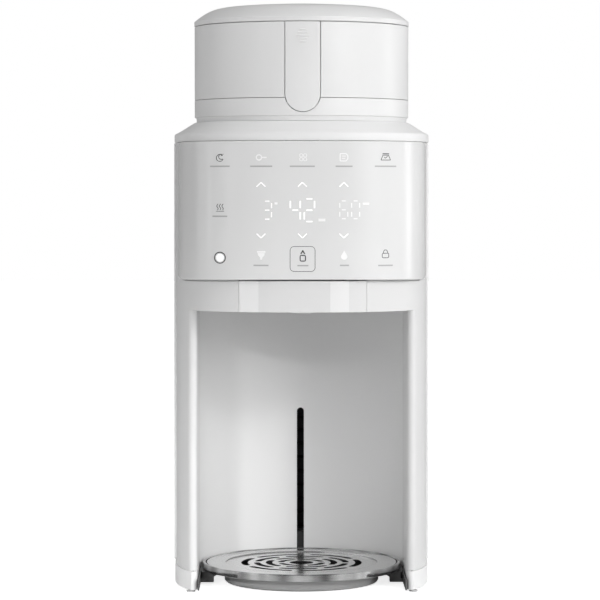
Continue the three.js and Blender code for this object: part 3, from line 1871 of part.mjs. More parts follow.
add("tray_ring", makeTrayRing(), steel());
add("drip_cup", makeCup(), greyPlastic());
add("grille_plate", makeGrille(), steel());
add("lift_slider", makeSlider(), darkPlastic());
add(
  "detent_plunger",
  lengthRod(0, sliderBack - 2 * plungerRadius, stripFront - gap, plungerZ, plungerRadius),
  steel(),
);
mirrored((side) => {
  const low = skirtBottom + floorThickness + gap;
  const guide = rod(side * rodSpread, rodY, rodRadius, low, shelfLow - gap, smallTurn);
  add(side > 0 ? "guide_rod_right" : "guide_rod_left", guide, steel());
});
add("detent_strip", makeDetentStrip(), whiteShell());

add("water_tank", makeTank(), clearTank());
add("tank_lid", makeTankLid(), whiteShell());
add("tank_valve", makeValve(), greyPlastic());
add("valve_spring", makeValveSpring(), steel());
add("valve_cage", makeValveCage(), greyPlastic());
add("dock_seat", makeDock(), rubber());
add("water_pump", makePump(), greyPlastic());
add("heater", makeHeater(), copper());
add("pump_inlet_hose", makePumpInletHose(), rubber());
add("pump_outlet_hose", makePumpOutletHose(), rubber());
add("heater_hose", makeHeaterHose(), rubber());
add("water_nozzle", makeNozzle(), greyPlastic());
add("power_board", makePowerBoard(), boardGreen());
add("power_inlet", makePowerInlet(), darkPlastic());

export default group;
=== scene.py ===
# %% [markdown]
# # A counter-top baby formula maker
# The imported model is a frame of plain solids that already have their joints. This lesson dresses
# it: smooth, thin-walled mouldings, turned and brushed steel, printed signs and soft light.
# Work starts by loading that frame.

# %% Load the frame
import json
from math import atan2, copysign, cos, dist, pi, radians, sin

import bmesh
import bpy
from mathutils import Matrix, Vector


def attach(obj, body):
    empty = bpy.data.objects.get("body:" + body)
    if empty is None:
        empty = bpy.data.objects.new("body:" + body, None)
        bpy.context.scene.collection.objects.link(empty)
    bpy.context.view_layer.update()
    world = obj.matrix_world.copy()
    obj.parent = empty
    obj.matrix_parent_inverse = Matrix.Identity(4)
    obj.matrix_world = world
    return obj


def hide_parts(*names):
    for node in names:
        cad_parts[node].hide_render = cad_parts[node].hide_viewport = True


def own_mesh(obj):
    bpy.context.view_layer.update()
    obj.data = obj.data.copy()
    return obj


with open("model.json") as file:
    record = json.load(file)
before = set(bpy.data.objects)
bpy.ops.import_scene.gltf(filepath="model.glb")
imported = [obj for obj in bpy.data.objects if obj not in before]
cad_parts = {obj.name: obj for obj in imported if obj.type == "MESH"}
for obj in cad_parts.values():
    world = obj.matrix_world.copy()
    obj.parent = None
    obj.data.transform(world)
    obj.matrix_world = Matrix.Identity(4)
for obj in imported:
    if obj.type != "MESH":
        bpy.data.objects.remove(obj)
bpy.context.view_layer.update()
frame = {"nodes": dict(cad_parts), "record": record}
body_of_node = {
    node: body for body, nodes in frame["record"]["behaviour"]["bodies"].items() for node in nodes
}

# %% [markdown]
# The camera comes first. The real one stood far away with a long lens, a little above the middle
# of the machine, so upright edges stay upright and the tray shows as a thin ellipse. It stood
# half a degree to the left, which shows where the latch in front and the slot behind leave the
# middle line to opposite sides.

# %% Camera
def placed(name, data):
    """A new object in the scene."""
    made = bpy.data.objects.new(name, data)
    bpy.context.scene.collection.objects.link(made)
    return made


camera = placed("camera", bpy.data.cameras.new("camera"))
bpy.context.scene.camera = camera
camera.data.sensor_width, camera.data.lens, camera.data.clip_end = 36, 159, 50
camera.location = (-0.0202, -1.8664, 0.271)
camera.rotation_euler = (radians(90 - 2.377), 0, radians(-0.6))
print("camera stands", round(-camera.location.y, 2), "m in front of the middle")

# %% [markdown]
# The light, the finishes and the parts that repeat are all trees of nodes. A few helpers keep
# them short: they add a node with its inputs, do sums, and start a tree with named inputs.

# %% Helpers for node trees
NUMBER, COLOUR, PLACE, WHOLE = ("NodeSocket" + kind for kind in ("Float", "Color", "Vector", "Int"))


def node(tree, kind, links=(), **settings):
    """Adds a node. Each link is an input and its value, or the node or socket that feeds it."""
    made = tree.nodes.new(kind)
    for key, value in settings.items():
        setattr(made, key, value)
    for target, source in links:
        if isinstance(source, bpy.types.Node):
            source = source.outputs[0]
        if isinstance(source, bpy.types.NodeSocket):
            tree.links.new(source, made.inputs[target])
        else:
            made.inputs[target].default_value = source
    return made


def calc(tree, operation, *terms):
    return node(tree, "ShaderNodeMath", enumerate(terms), operation=operation).outputs[0]


def vector(tree, operation, *links, result=0):
    return node(tree, "ShaderNodeVectorMath", links, operation=operation).outputs[result]


def new_tree(name, kind, inputs, outputs):
    """A tree with inputs (name, type, value) and outputs (name, type)."""
    tree = bpy.data.node_groups.new(name, kind)
    for label, socket_kind, *value in inputs:
        socket = tree.interface.new_socket(label, in_out="INPUT", socket_type=socket_kind)
        if value:
            socket.default_value = value[0]
    for label, socket_kind in outputs:
        tree.interface.new_socket(label, in_out="OUTPUT", socket_type=socket_kind)
    return tree, tree.nodes.new("NodeGroupInput").outputs, tree.nodes.new("NodeGroupOutput").inputs


# %% [markdown]
# Product photographs of white things are made in a white room: big soft panels, a bright floor
# and no hard shadow. The world gives the even light and is brighter on its right side, and a few
# large area lamps model the round forms, so the hopper runs from grey on the left to nearly
# white on the right. Two narrow lamps brighten the foot alone. The Standard view keeps white
# paper white, and the camera sees a plain white backdrop.

# %% The white room
WHITE, EVEN, FROM_RIGHT = (1, 1, 1, 1), 0.27, 0.5
bpy.context.scene.view_settings.view_transform = "Standard"
world = bpy.data.worlds.new("white room")
bpy.context.scene.world = world
world.use_nodes = True
sky = world.node_tree
way = node(sky, "ShaderNodeSeparateXYZ", [(0, node(sky, "ShaderNodeTexCoord").outputs["Generated"])])
side_light = calc(sky, "MAXIMUM", calc(sky, "MULTIPLY", way.outputs["X"], FROM_RIGHT), 0.0)
room = sky.nodes["Background"]
room.inputs["Color"].default_value = WHITE
sky.links.new(calc(sky, "ADD", side_light, EVEN), room.inputs["Strength"])
backdrop = node(sky, "ShaderNodeBackground", [("Color", WHITE), ("Strength", 1.0)])
seen = node(sky, "ShaderNodeLightPath").outputs["Is Camera Ray"]
either = node(sky, "ShaderNodeMixShader", [("Fac", seen), (1, room), (2, backdrop)])
sky.links.new(either.outputs[0], sky.nodes["World Output"].inputs["Surface"])

# %% [markdown]
# Each lamp hangs at its spot and is turned to face its aim. The floor is one large sheet of white
# paper; it isn't part of the machine.


# %% Lamps and floor
def hung(name, kind, spot, aim, watts):
    """A lamp at spot, turned to face aim."""
    lamp = placed(name, bpy.data.lights.new(name, kind))
    lamp.data.energy = watts
    lamp.location = spot
    lamp.rotation_euler = (Vector(aim) - Vector(spot)).to_track_quat("-Z", "Y").to_euler()
    return lamp


def soft_panel(name, spot, aim, width, height, watts, mirrored=True, spread=True):
    """A rectangular lamp. Mirrored: it shows in glossy faces. Spread: it lights the matt ones."""
    lamp = hung(name, "AREA", spot, aim, watts)
    lamp.data.shape, lamp.data.size, lamp.data.size_y = "RECTANGLE", width, height
    lamp.visible_glossy, lamp.visible_diffuse = mirrored, spread


def foot_light(name, spot, aim, watts, cone):
    """A narrow lamp with a soft edge that brightens only the foot of the machine."""
    lamp = hung(name, "SPOT", spot, aim, watts)
    lamp.data.spot_size, lamp.data.spot_blend = radians(cone), 1.0
    lamp.data.shadow_soft_size = 0.12
    lamp.visible_glossy = False


soft_panel("key_panel", (1.3, -1.6, 1.0), (0, 0, 0.2), 1.1, 1.1, 15, mirrored=False)
soft_panel("low_key_panel", (1.3, -1.5, 0.45), (0, 0, 0.15), 0.8, 0.8, 6, mirrored=False)
soft_panel("left_panel", (-1.6, -1.0, 0.5), (0, 0, 0.2), 1.6, 1.4, 5)
soft_panel("left_rear_panel", (-1.9, -0.1, 0.4), (0, 0, 0.2), 1.0, 1.4, 3.2)
soft_panel("top_panel", (0.1, -0.3, 1.6), (0, 0, 0.3), 1.2, 1.0, 3.4, mirrored=False)
soft_panel("glow_panel", (1.9, 0.5, 0.35), (0, 0, 0.25), 0.5, 1.4, 3.2, spread=False)
foot_light("foot_left", (-0.45, -1.5, 0.5), (-0.1, -0.1, 0.06), 95, 8)
foot_light("foot_right", (0.9, -1.4, 0.95), (-0.01, 0, 0.05), 26, 14)

reach = 6
floor_mesh = bpy.data.meshes.new("floor")
floor_mesh.from_pydata([(-reach, -reach, 0), (reach, -reach, 0), (reach, reach, 0), (-reach, reach, 0)],
                       [], [(0, 1, 2, 3)])
floor = placed("floor", floor_mesh)

# %% [markdown]
# ## Effects that several materials share
# A shader node group is built once and placed in each material with its own values. The first is
# the fine, uneven skin of moulded plastic: a very small grain for the bump, and slow, faint
# changes of tone and gloss, as a mould leaves them. Coordinates are the piece's own, in metres.

# %% Steps that the groups share
def noise(tree, place, scale, detail):
    links = [("Vector", place), ("Scale", scale), ("Detail", detail)]
    return node(tree, "ShaderNodeTexNoise", links).outputs["Fac"]


def swing_of(tree, pattern):
    """A pattern's swing about its middle value."""
    return calc(tree, "SUBTRACT", pattern, 0.5)


def surface_group(name, inputs):
    """A group that puts out a surface's colour, roughness and height."""
    return new_tree(name, "ShaderNodeTree", [("Colour", COLOUR, (0.8, 0.8, 0.8, 1))] + inputs,
                    [("Colour", COLOUR), ("Roughness", NUMBER), ("Height", NUMBER)])


def lead_out(tree, enter, leave, tone, gloss, height):
    """The group's colour is scaled by tone; gloss and height go out as they are."""
    tinted = vector(tree, "SCALE", (0, enter["Colour"]), ("Scale", tone))
    for label, source in (("Colour", tinted), ("Roughness", gloss), ("Height", height)):
        tree.links.new(source, leave[label])
    print("group", tree.name, "has", len(tree.nodes), "nodes")


# %% Moulded skin
moulded_skin, enter, leave = surface_group(
    "moulded skin", [("Grain", NUMBER, 2500), ("Drift", NUMBER, 0.03), ("Roughness", NUMBER, 0.4),
                     ("Roughness drift", NUMBER, 0.06)])
tree = moulded_skin
place = node(tree, "ShaderNodeTexCoord").outputs["Object"]
shift = swing_of(tree, noise(tree, place, 14.0, 2.0))
tone = calc(tree, "MULTIPLY_ADD", shift, enter["Drift"], 1.0)
gloss = calc(tree, "MULTIPLY_ADD", shift, enter["Roughness drift"], enter["Roughness"])
lead_out(tree, enter, leave, tone, gloss, noise(tree, place, enter["Grain"], 3.0))

# %% [markdown]
# Steel that was turned or brushed is streaky: fine lines follow the tool. On a turned disc the
# lines are circles, so the pattern is read along the radius only; on a ring's outside they run
# round it, so it is read along the height. One group does both: it takes the distance from an
# upright axis, mixes in the height, and stretches a noise over those two. A second, coarse noise
# over the direction from the axis is painted reflection: it puts lighter and darker tone into the
# colour where a polished rim would mirror its room unevenly.

# %% Brushed lines and painted reflection
brushed_lines_and_reflection, enter, leave = surface_group(
    "brushed lines and painted reflection", [("Centre Y", NUMBER, 0.0), ("Lines", NUMBER, 1800), ("Contrast", NUMBER, 0.25),
                      ("Roughness", NUMBER, 0.3), ("Round about", NUMBER, 1.0),
                      ("Patches", NUMBER, 0.0)])
tree = brushed_lines_and_reflection
place = node(tree, "ShaderNodeTexCoord").outputs["Object"]
parts = node(tree, "ShaderNodeSeparateXYZ", [("Vector", place)]).outputs
depth = calc(tree, "SUBTRACT", parts["Y"], enter["Centre Y"])
flat = node(tree, "ShaderNodeCombineXYZ", [("X", parts["X"]), ("Y", depth)])
far = vector(tree, "LENGTH", (0, flat), result="Value")
slow_turn = calc(tree, "MULTIPLY", calc(tree, "ARCTAN2", depth, parts["X"]), 0.004)
circles = node(tree, "ShaderNodeCombineXYZ", [("X", far), ("Y", slow_turn), ("Z", parts["Z"])])
straight = vector(tree, "MULTIPLY", (0, place), (1, (0.02, 1.0, 1.0)))
chosen = node(tree, "ShaderNodeMix", [("Factor", enter["Round about"]), (4, straight), (5, circles)],
              data_type="VECTOR")
streak = noise(tree, chosen.outputs[1], enter["Lines"], 4.0)
swing = swing_of(tree, streak)
painted_reflection = swing_of(tree, noise(tree, vector(tree, "NORMALIZE", (0, flat)), 3.2, 2.0))
reflection_tone = calc(tree, "MULTIPLY_ADD", painted_reflection, enter["Patches"], 1.0)
tone = calc(tree, "MULTIPLY_ADD", swing, enter["Contrast"], reflection_tone)
gloss = calc(tree, "MULTIPLY_ADD", swing, enter["Contrast"], enter["Roughness"])
lead_out(tree, enter, leave, tone, gloss, streak)

# %% [markdown]
# A finish is a material: the shared group gives colour, roughness and height, and the Principled
# shader stays in the material itself. What is the same all over, such as the coat or the metal's
# share, is set on the shader's own sockets. AXIS is the depth, in millimetres, of the upright axis
# that tray, alcove and hopper share, and it is the centre of the steel's circles.

# %% Finishes
AXIS = -36.5


def spaced(settings):
    """Keyword names as socket names."""
    return [(key.replace("_", " "), value) for key, value in settings.items()]


def finish(name, group, bump, shader, values):
    """A material whose group takes values, and whose shader takes the plain settings."""
    made = bpy.data.materials.new(name)
    made.use_nodes = True
    tree = made.node_tree
    body = tree.nodes["Principled BSDF"]
    for key, value in spaced(shader):
        body.inputs[key].default_value = value
    skin = node(tree, "ShaderNodeGroup", spaced(values), node_tree=group).outputs
    rise = node(tree, "ShaderNodeBump",
                [("Strength", bump), ("Distance", 0.0001), ("Height", skin["Height"])])
    for source, target in ((skin["Colour"], "Base Color"), (skin["Roughness"], "Roughness"),
                           (rise.outputs["Normal"], "Normal")):
        tree.links.new(source, body.inputs[target])
    return made


def grey(value):
    return (value, value, value, 1)


def moulded(name, tone, grain, drift, roughness, bump, **shader):
    """A plastic, rubber or printed finish. Its tone is a grey's value, or a colour."""
    colour = grey(tone) if isinstance(tone, float) else tone
    return finish(name, moulded_skin, bump, shader,
                  dict(Colour=colour, Grain=grain, Drift=drift, Roughness=roughness))


def steel(name, tone, lines, contrast, roughness, bump, **values):
    values.update(Colour=grey(tone), Lines=lines, Contrast=contrast, Roughness=roughness)
    return finish(name, brushed_lines_and_reflection, bump, {"Metallic": 1.0}, values)


# %% [markdown]
# Each finish of the machine is one line. The numbers are tone, grain, drift, roughness and bump
# for a moulded finish, and tone, lines, contrast, roughness and bump for steel.

# %% The machine's finishes
SATIN = dict(Coat_Weight=0.15, Coat_Roughness=0.3)
satin_white = moulded("satin_white", 0.83, 2500, 0.02, 0.42, 0.05, **SATIN)
# The front frame's white is a darker copy of the satin white, as painted shade: its lower tone stands for
# the shadow under the panel and the weaker light on the left.
shaded_frame_white = moulded("shaded_frame_white", 0.71, 2500, 0.02, 0.42, 0.05, **SATIN)
drum_white = moulded("drum_white", 0.80, 2500, 0.02, 0.36, 0.04, Coat_Weight=0.2, Coat_Roughness=0.2)
panel_white = moulded("panel_white", 0.755, 900, 0.02, 0.22, 0.01, Coat_Weight=0.5, Coat_Roughness=0.12)
liner_white = moulded("liner_white", 0.81, 3000, 0.03, 0.5, 0.06)
pale_sheet_finish = moulded("pale_sheet_finish", 0.81, 1200, 0.02, 0.3, 0.02, Coat_Weight=0.3)
working_grey = moulded("working_grey", 0.2, 2000, 0.06, 0.45, 0.08)
lip_grey = moulded("lip_grey", 0.09, 1800, 0.08, 0.5, 0.08)
cup_grey = moulded("cup_grey", 0.42, 2000, 0.04, 0.42, 0.06)
dark_moulding = moulded("dark_moulding", 0.035, 1800, 0.1, 0.5, 0.1)
soft_rubber = moulded("soft_rubber", 0.03, 1500, 0.1, 0.75, 0.15)
pale_rubber = moulded("pale_rubber", 0.5, 1500, 0.06, 0.7, 0.1)
hose_skin = moulded("hose_skin", 0.7, 1200, 0.05, 0.4, 0.03, Subsurface_Weight=0.1)
circuit_green = moulded("circuit_green", (0.03, 0.13, 0.05, 1), 600, 0.2, 0.4, 0.1, Coat_Weight=0.4)
tank_plastic = moulded("tank_plastic", (0.86, 0.9, 0.92, 1), 800, 0.02, 0.12, 0.02,
                       Transmission_Weight=0.75, IOR=1.49)
dark_ink = moulded("dark_ink", 0.05, 900, 0.1, 0.3, 0.02)
pale_ink = moulded("pale_ink", 0.42, 900, 0.1, 0.3, 0.02)
lit_sign = moulded("lit_sign", 0.9, 900, 0.02, 0.3, 0.0, Emission_Color=WHITE, Emission_Strength=0.35)
faint_sign = moulded("faint_sign", 0.9, 900, 0.02, 0.3, 0.0, Emission_Color=WHITE,
                     Emission_Strength=0.04)
disc_steel = steel("disc_steel", 0.74, 1500, 0.2, 0.22, 0.06, Centre_Y=AXIS / 1000)
# The rim's steel gets painted reflection: coarse spots of lighter and darker tone in its colour.
rim_steel = steel("rim_steel", 0.5, 2600, 0.6, 0.16, 0.1, Centre_Y=AXIS / 1000, Patches=4.0)
bar_steel = steel("bar_steel", 0.6, 2200, 0.2, 0.3, 0.08, Round_about=0.0)
floor_paper = moulded("floor_paper", 0.85, 50, 0.0, 0.9, 0.0, Emission_Color=WHITE)
paper = floor_paper.node_tree
seen = node(paper, "ShaderNodeLightPath").outputs["Is Camera Ray"]
paper.links.new(calc(paper, "MULTIPLY", seen, 0.8),
                paper.nodes["Principled BSDF"].inputs["Emission Strength"])
floor.data.materials.append(floor_paper)
print("finishes", len(bpy.data.materials))

# %% [markdown]
# ## Shapes
# Sizes are written in millimetres, as on a drawing, and turned into metres when a piece is put
# in place. The main pieces are made finer than the frame's solids, from the same profiles:
# outlines that are drawn up, profiles that are turned, and levels that are joined into a loft.

# %% Basic forms
STEPS = 160


def mesh_of(points, faces):
    made = bpy.data.meshes.new("form")
    made.from_pydata([tuple(p) for p in points], [], faces)
    made.validate()
    return made


def between(rings):
    """The faces between a stack of rings, each with the same count of points."""
    count = len(rings[0])
    return [(k * count + i, k * count + (i + 1) % count, (k + 1) * count + (i + 1) % count,
             (k + 1) * count + i) for k in range(len(rings) - 1) for i in range(count)]


def loft(rings):
    """Closes a stack of rings, each a list of (x, y, z), into a solid."""
    count, points = len(rings[0]), [p for ring in rings for p in ring]
    caps = [tuple(range(count - 1, -1, -1)), tuple(range(len(points) - count, len(points)))]
    return mesh_of(points, between(rings) + caps)


def clean_ring(outline):
    """The outline without doubled corners."""
    kept = []
    for point in outline:
        if not kept or dist(point, kept[-1]) > 1e-4:
            kept.append(point)
    return kept[:-1] if dist(kept[0], kept[-1]) < 1e-4 else kept


def upright(outline, low, high):
    """An outline of (x, y), drawn up from low to high."""
    return loft([[(x, y, z) for x, y in clean_ring(outline)] for z in (low, high)])


def through(outline, near, far):
    """An outline of (x, z), drawn from near to far along the depth."""
    return loft([[(x, y, z) for x, z in outline] for y in (near, far)])


def across(outline, left, right):
    """An outline of (y, z), drawn from left to right."""
    return loft([[(x, y, z) for y, z in outline] for x in (left, right)])


def block(left, right, near, far, low, high):
    return upright([(left, near), (right, near), (right, far), (left, far)], low, high)


# %% Circles, rods and arcs
def circle(x, y, radius, count):
    return [(x + radius * cos(2 * pi * i / count),
             y + radius * sin(2 * pi * i / count)) for i in range(count)]


def rod(x, y, radius, low, high, count=64):
    return upright(circle(x, y, radius, count), low, high)


def on_axis(radius, low, high):
    """A smooth rod on the machine's upright axis."""
    return rod(0, AXIS, radius, low, high, STEPS)


def cross_rod(left, right, y, z, radius, count=32):
    return across(circle(y, z, radius, count), left, right)


def pair(inner, outer):
    """The left and right ends of two things that stand inner to outer from the middle."""
    return [(inner, outer), (-outer, -inner)]


def arc(x, y, radius, start, end, count):
    turns = [start + (end - start) * i / count for i in range(count + 1)]
    return [(x + radius * cos(t), y + radius * sin(t)) for t in turns]


# %% [markdown]
# A turned part is one closed profile, swept round the machine's upright axis. The profile's
# corners are eased first, so that no edge is sharp as a knife.

# %% Turned forms
def turned(profile):
    """A closed profile of (radius, height), turned about the machine's upright axis."""
    points, faces, rows = [], [], []
    for radius, z in profile:
        if radius < 1e-6:
            rows.append([len(points)] * STEPS)
            points.append((0, AXIS, z))
            continue
        rows.append([len(points) + i for i in range(STEPS)])
        points += [(x, y, z) for x, y in circle(0, AXIS, radius, STEPS)]
    for a, b in zip(rows, rows[1:] + rows[:1]):
        for i in range(STEPS):
            j = (i + 1) % STEPS
            face = list(dict.fromkeys((a[i], a[j], b[j], b[i])))
            if len(face) > 2:
                faces.append(face)
    return mesh_of(points, faces)


def eased(corners, radius, steps=3):
    """Rounds the corners of a closed profile, as the edges of a moulding are."""
    out = []
    for i, corner in enumerate(corners):
        here = Vector(corner)
        a, b = Vector(corners[i - 1]) - here, Vector(corners[(i + 1) % len(corners)]) - here
        if here.x < 1e-6 or min(a.length, b.length) < 1e-6:
            out.append(tuple(here))
            continue
        reach = min(radius, a.length * 0.4, b.length * 0.4)
        p, q = here + a.normalized() * reach, here + b.normalized() * reach
        for k in range(steps + 1):
            t = k / steps
            out.append(tuple(p.lerp(here, t).lerp(here.lerp(q, t), t)))
    return out


print("a turned profile has", STEPS, "steps a turn")


# %% [markdown]
# Joining and cutting is done with Blender's Boolean modifier. Its manifold way is quick and exact
# on closed solids. The modifier is applied at once, so each result is plain mesh.

# %% Join and cut
def cleaned(mesh, near, flat=None):
    """Merges doubled points, dissolves flat edges if asked, and turns the faces outward."""
    work = bmesh.new()
    work.from_mesh(mesh)
    bmesh.ops.remove_doubles(work, verts=work.verts, dist=near)
    if flat:
        bmesh.ops.dissolve_limit(work, angle_limit=flat, verts=work.verts, edges=work.edges)
    bmesh.ops.recalc_face_normals(work, faces=work.faces)
    work.to_mesh(mesh)
    work.free()
    return mesh


def evaluated(thing):
    """The plain mesh that an object's modifiers make."""
    bpy.context.view_layer.update()
    return bpy.data.meshes.new_from_object(thing.evaluated_get(bpy.context.evaluated_depsgraph_get()))


def combine(first, others, way):
    """first with each of the others joined, cut away or kept in common."""
    thing, *tools = [placed("thing", cleaned(mesh, 0.0005)) for mesh in (first, *others)]
    for tool in tools:
        step = thing.modifiers.new("step", "BOOLEAN")
        step.operation, step.solver, step.object = way, "MANIFOLD", tool
    result = evaluated(thing)
    for used in (thing, *tools):
        bpy.data.objects.remove(used)
    return result


def cut(first, *others):
    return combine(first, others, "DIFFERENCE")


def join(first, *others):
    return combine(first, others, "UNION")


def common(first, *others):
    return combine(first, others, "INTERSECT")


# %% [markdown]
# A mesh becomes a piece when it is scaled to metres, cleaned, given an edge rounding and a
# finish, and tied to the body that carries it. The Bevel modifier rounds only sharp edges, and
# hardened normals keep the flat faces flat in the light.

# %% Putting a piece in place
def put(name, mesh, material, node_name=None, body=None, edge=0, scale=0.001, limit=38):
    """Makes the piece, and lets it stand for the frame's node of that name."""
    mesh.transform(Matrix.Scale(scale, 4))
    cleaned(mesh, 2e-6, radians(0.4))
    mesh.name = name
    mesh.materials.clear()
    mesh.materials.append(material)
    mesh.shade_smooth()
    piece = placed(name, mesh)
    if edge:
        soft = piece.modifiers.new("soft edge", "BEVEL")
        soft.width, soft.segments = edge * 0.001, 2
        soft.limit_method, soft.angle_limit = "ANGLE", radians(limit)
        soft.harden_normals = True
        soft.use_clamp_overlap = True
    else:
        mesh.set_sharp_from_angle(angle=radians(limit))
    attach(piece, body or body_of_node[node_name])
    if node_name:
        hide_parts(node_name)
    print(name, "faces", len(mesh.polygons))
    return piece


# %% [markdown]
# ## Body
# The body is one flattened curve in plan, wider than it is deep at the front, with straight
# sides behind. Each moulding is that same curve, drawn in or out by its wall, so all seams
# run true. Housings also taper: they are a little wider at the table than at the shoulder,
# which lets a moulding leave its mould and makes the machine stand firm.
#
# HALF and FRAME_HALF are half widths. The front curve starts at CURVE, reaches REACH forward, and
# a larger POWER makes it flatter. SHOULDER, SKIRT, BEAM, DRAWER and PANEL are heights. TALL is
# higher than the body, OVER is how far a cutter passes the face that it cuts, and LONG and SHORT
# are the steps of large and small arcs.

# %% Plan of the body
HALF, REAR, FRONT, CURVE, REACH, POWER = 88.0, 126.0, -126.0, -29.5, 94.0, 2.5
FRAME_HALF, WALL, GAP, BAY, CORNER, ALCOVE = 86.2, 2.4, 0.3, 72.0, 26.0, 70.5
SHOULDER, SKIRT, BEAM, DRAWER, PANEL = 303.6, 14.0, 190.4, 211.0, 212.0
DRAFT, SAG = 0.006, 1.2
TALL, OVER, LONG, SHORT = 320, 2, 120, 12


def curve_y(x, half, reach, power=POWER):
    """How far forward the flattened curve stands at x."""
    share = min(1, abs(x) / half)
    return CURVE - reach * (1 - share ** power) ** (1 / power)


def front_curve(half, reach):
    bend = lambda value: copysign(abs(value) ** (2 / POWER), value)
    turns = [pi + pi * i / LONG for i in range(LONG + 1)]
    return [(half * bend(cos(t)), CURVE + reach * bend(sin(t))) for t in turns]


def frame_plan(inset, back):
    half = FRAME_HALF - inset
    return front_curve(half, REACH - inset) + [(half, back), (-half, back)]


def body_plan(inset, back, corner):
    half, radius = HALF - inset, max(corner - inset, 2.4)
    right = arc(half - radius, back - radius, radius, 0, pi / 2, SHORT)
    left = arc(radius - half, back - radius, radius, pi / 2, pi, SHORT)
    return front_curve(half, REACH - inset) + right + left


def alcove_plan(offset):
    radius = ALCOVE + offset
    return [(-radius, FRONT - 4), (radius, FRONT - 4)] + arc(0, AXIS, radius, 0, pi, LONG)


def taper(z):
    """How much wider the housing is at height z than at the shoulder."""
    return 1 + DRAFT * max(0, (SHOULDER - z) / SHOULDER)


def tapered(mesh):
    for corner in mesh.vertices:
        corner.co.x *= taper(corner.co.z)
    return mesh


print("the wings' plan has", len(clean_ring(frame_plan(0, CURVE))), "corners")

# %% [markdown]
# The front frame is one moulding: two wings and the beam across them. It is drawn up from the
# plan and hollowed, then the alcove, the drawer's mouth and the display's window are cut. A
# groove under the panel follows its edge and keeps a fine shadow there. The wings' inner edges
# have a larger round, made by cutting with the outline of that round.


# %% Front frame
def wing_round(half, reach, low, high):
    """Cutters that round the upright edges between the wings' faces and the alcove."""
    radius = 3.0
    x = ALCOVE + radius
    half, reach = half - radius, reach - radius
    y = curve_y(x, half, reach)
    slope_x = (x / half) ** (POWER - 1) / half
    slope_y = ((CURVE - y) / reach) ** (POWER - 1) / reach
    out = atan2(-slope_y, slope_x) + 2 * pi
    far = (x + (radius + OVER) * cos(out), y + (radius + OVER) * sin(out))
    inner = ALCOVE - OVER
    ahead = far[1] + (far[0] - inner) * cos(out) / sin(out)
    outline = [(inner, y)] + arc(x, y, radius, pi, out, SHORT) + [far, (inner, ahead)]
    return [upright([(side * px, py) for px, py in outline], low, high) for side in (1, -1)]


PANEL_EDGE, GROOVE_END, GROOVE_DEPTH, MOUTH, DRAWER_HALF = 84.0, 79, 1.4, 42.3, 42.22
back = CURVE + OVER
shell = cut(upright(frame_plan(0, back), SKIRT + 0.1, SHOULDER - GAP),
            upright(frame_plan(WALL, back + OVER), SKIRT - OVER, SHOULDER + OVER))
under_panel = [(x, DRAWER - SAG * (x / PANEL_EDGE) ** 2) for x in range(-GROOVE_END, GROOVE_END + 1, 2)]
under_panel += [(GROOVE_END, PANEL), (-GROOVE_END, PANEL)]
groove = cut(common(upright(frame_plan(-OVER, back), DRAWER - OVER, PANEL + 1),
                    through(under_panel, FRONT - 4, back)),
             upright(frame_plan(GROOVE_DEPTH, back + OVER), DRAWER - 4, PANEL + OVER))
returns = common(upright(frame_plan(WALL / 2, back), SKIRT + 0.1, BEAM - GAP),
                 upright(alcove_plan(WALL), SKIRT - OVER, BEAM))
drawer_mouth = block(-MOUTH, MOUTH, FRONT - OVER, AXIS, BEAM - OVER, DRAWER + 0.8)
window = block(-42, 42, FRONT - OVER, AXIS, 226, 290)
behind = block(-100, 100, CURVE - GAP, REAR, 0, TALL)
wings = cut(join(shell, returns), groove, upright(alcove_plan(0), SKIRT - OVER, BEAM), drawer_mouth,
            window, behind, *wing_round(FRAME_HALF, REACH, SKIRT - OVER, BEAM))
put("wings_and_beam", tapered(wings), shaded_frame_white, "front_frame", edge=0.12)

# %% [markdown]
# The rear shell closes the sides and the wall in front of the water tank. The shoulder above is a
# loft: the same plan at rising levels, drawn in a little more each time, so it rolls over to the
# flat seat of the hopper.

# %% Rear shell and shoulder
rear = cut(upright(body_plan(0, BAY - GAP, WALL), SKIRT + GAP, SHOULDER - GAP),
           upright(body_plan(WALL, BAY - GAP - WALL, WALL), SKIRT - OVER, SHOULDER + OVER),
           block(-100, 100, FRONT - OVER, CURVE, 0, TALL))
inlet_room = block(83, 92, 36.7, 57.3, 23.7, 36.3)
put("rear_moulding", cut(tapered(rear), inlet_room), satin_white, "rear_shell", edge=0.5)

roll = [(0, 0), (0, 0.3), (0.003, 0.35), (0.016, 0.385), (0.06, 0.42), (0.17, 0.475), (0.32, 0.56),
        (0.48, 0.667), (0.64, 0.772), (0.8, 0.88), (0.92, 0.955), (0.985, 0.992), (1.05, 1.0)]
ROLL_IN, ROLL_UP, SEAT_HOLE, BOSSES = 14.1, 13.4, 62, 66.5
levels = []
for draw, rise in roll:
    inset, z = 0.5 + ROLL_IN * draw, SHOULDER + ROLL_UP * rise
    levels.append([(x, y, z) for x, y in body_plan(inset, BAY - GAP - inset, WALL + inset)])
hollow = [[(x, y, z) for x, y in body_plan(i, BAY - GAP - i, max(i, WALL))]
          for i, z in ((WALL, 301.6), (WALL, 306.95), (14.6, 314.6))]
cover = cut(loft(levels), loft(hollow), on_axis(SEAT_HOLE, 312, TALL))
bosses = [rod(BOSSES * cos(t), AXIS + BOSSES * sin(t), 3.5, 303.7, 315.8, 32)
          for t in (pi / 4 + k * pi / 2 for k in range(4))]
put("shoulder", join(cover, *bosses), satin_white, "top_cover", edge=0.3)

# %% [markdown]
# The skirt goes round the foot of the machine, with the alcove's half circle open in front. The
# dark floor inside it carries a horseshoe that the tray's cup sinks into.

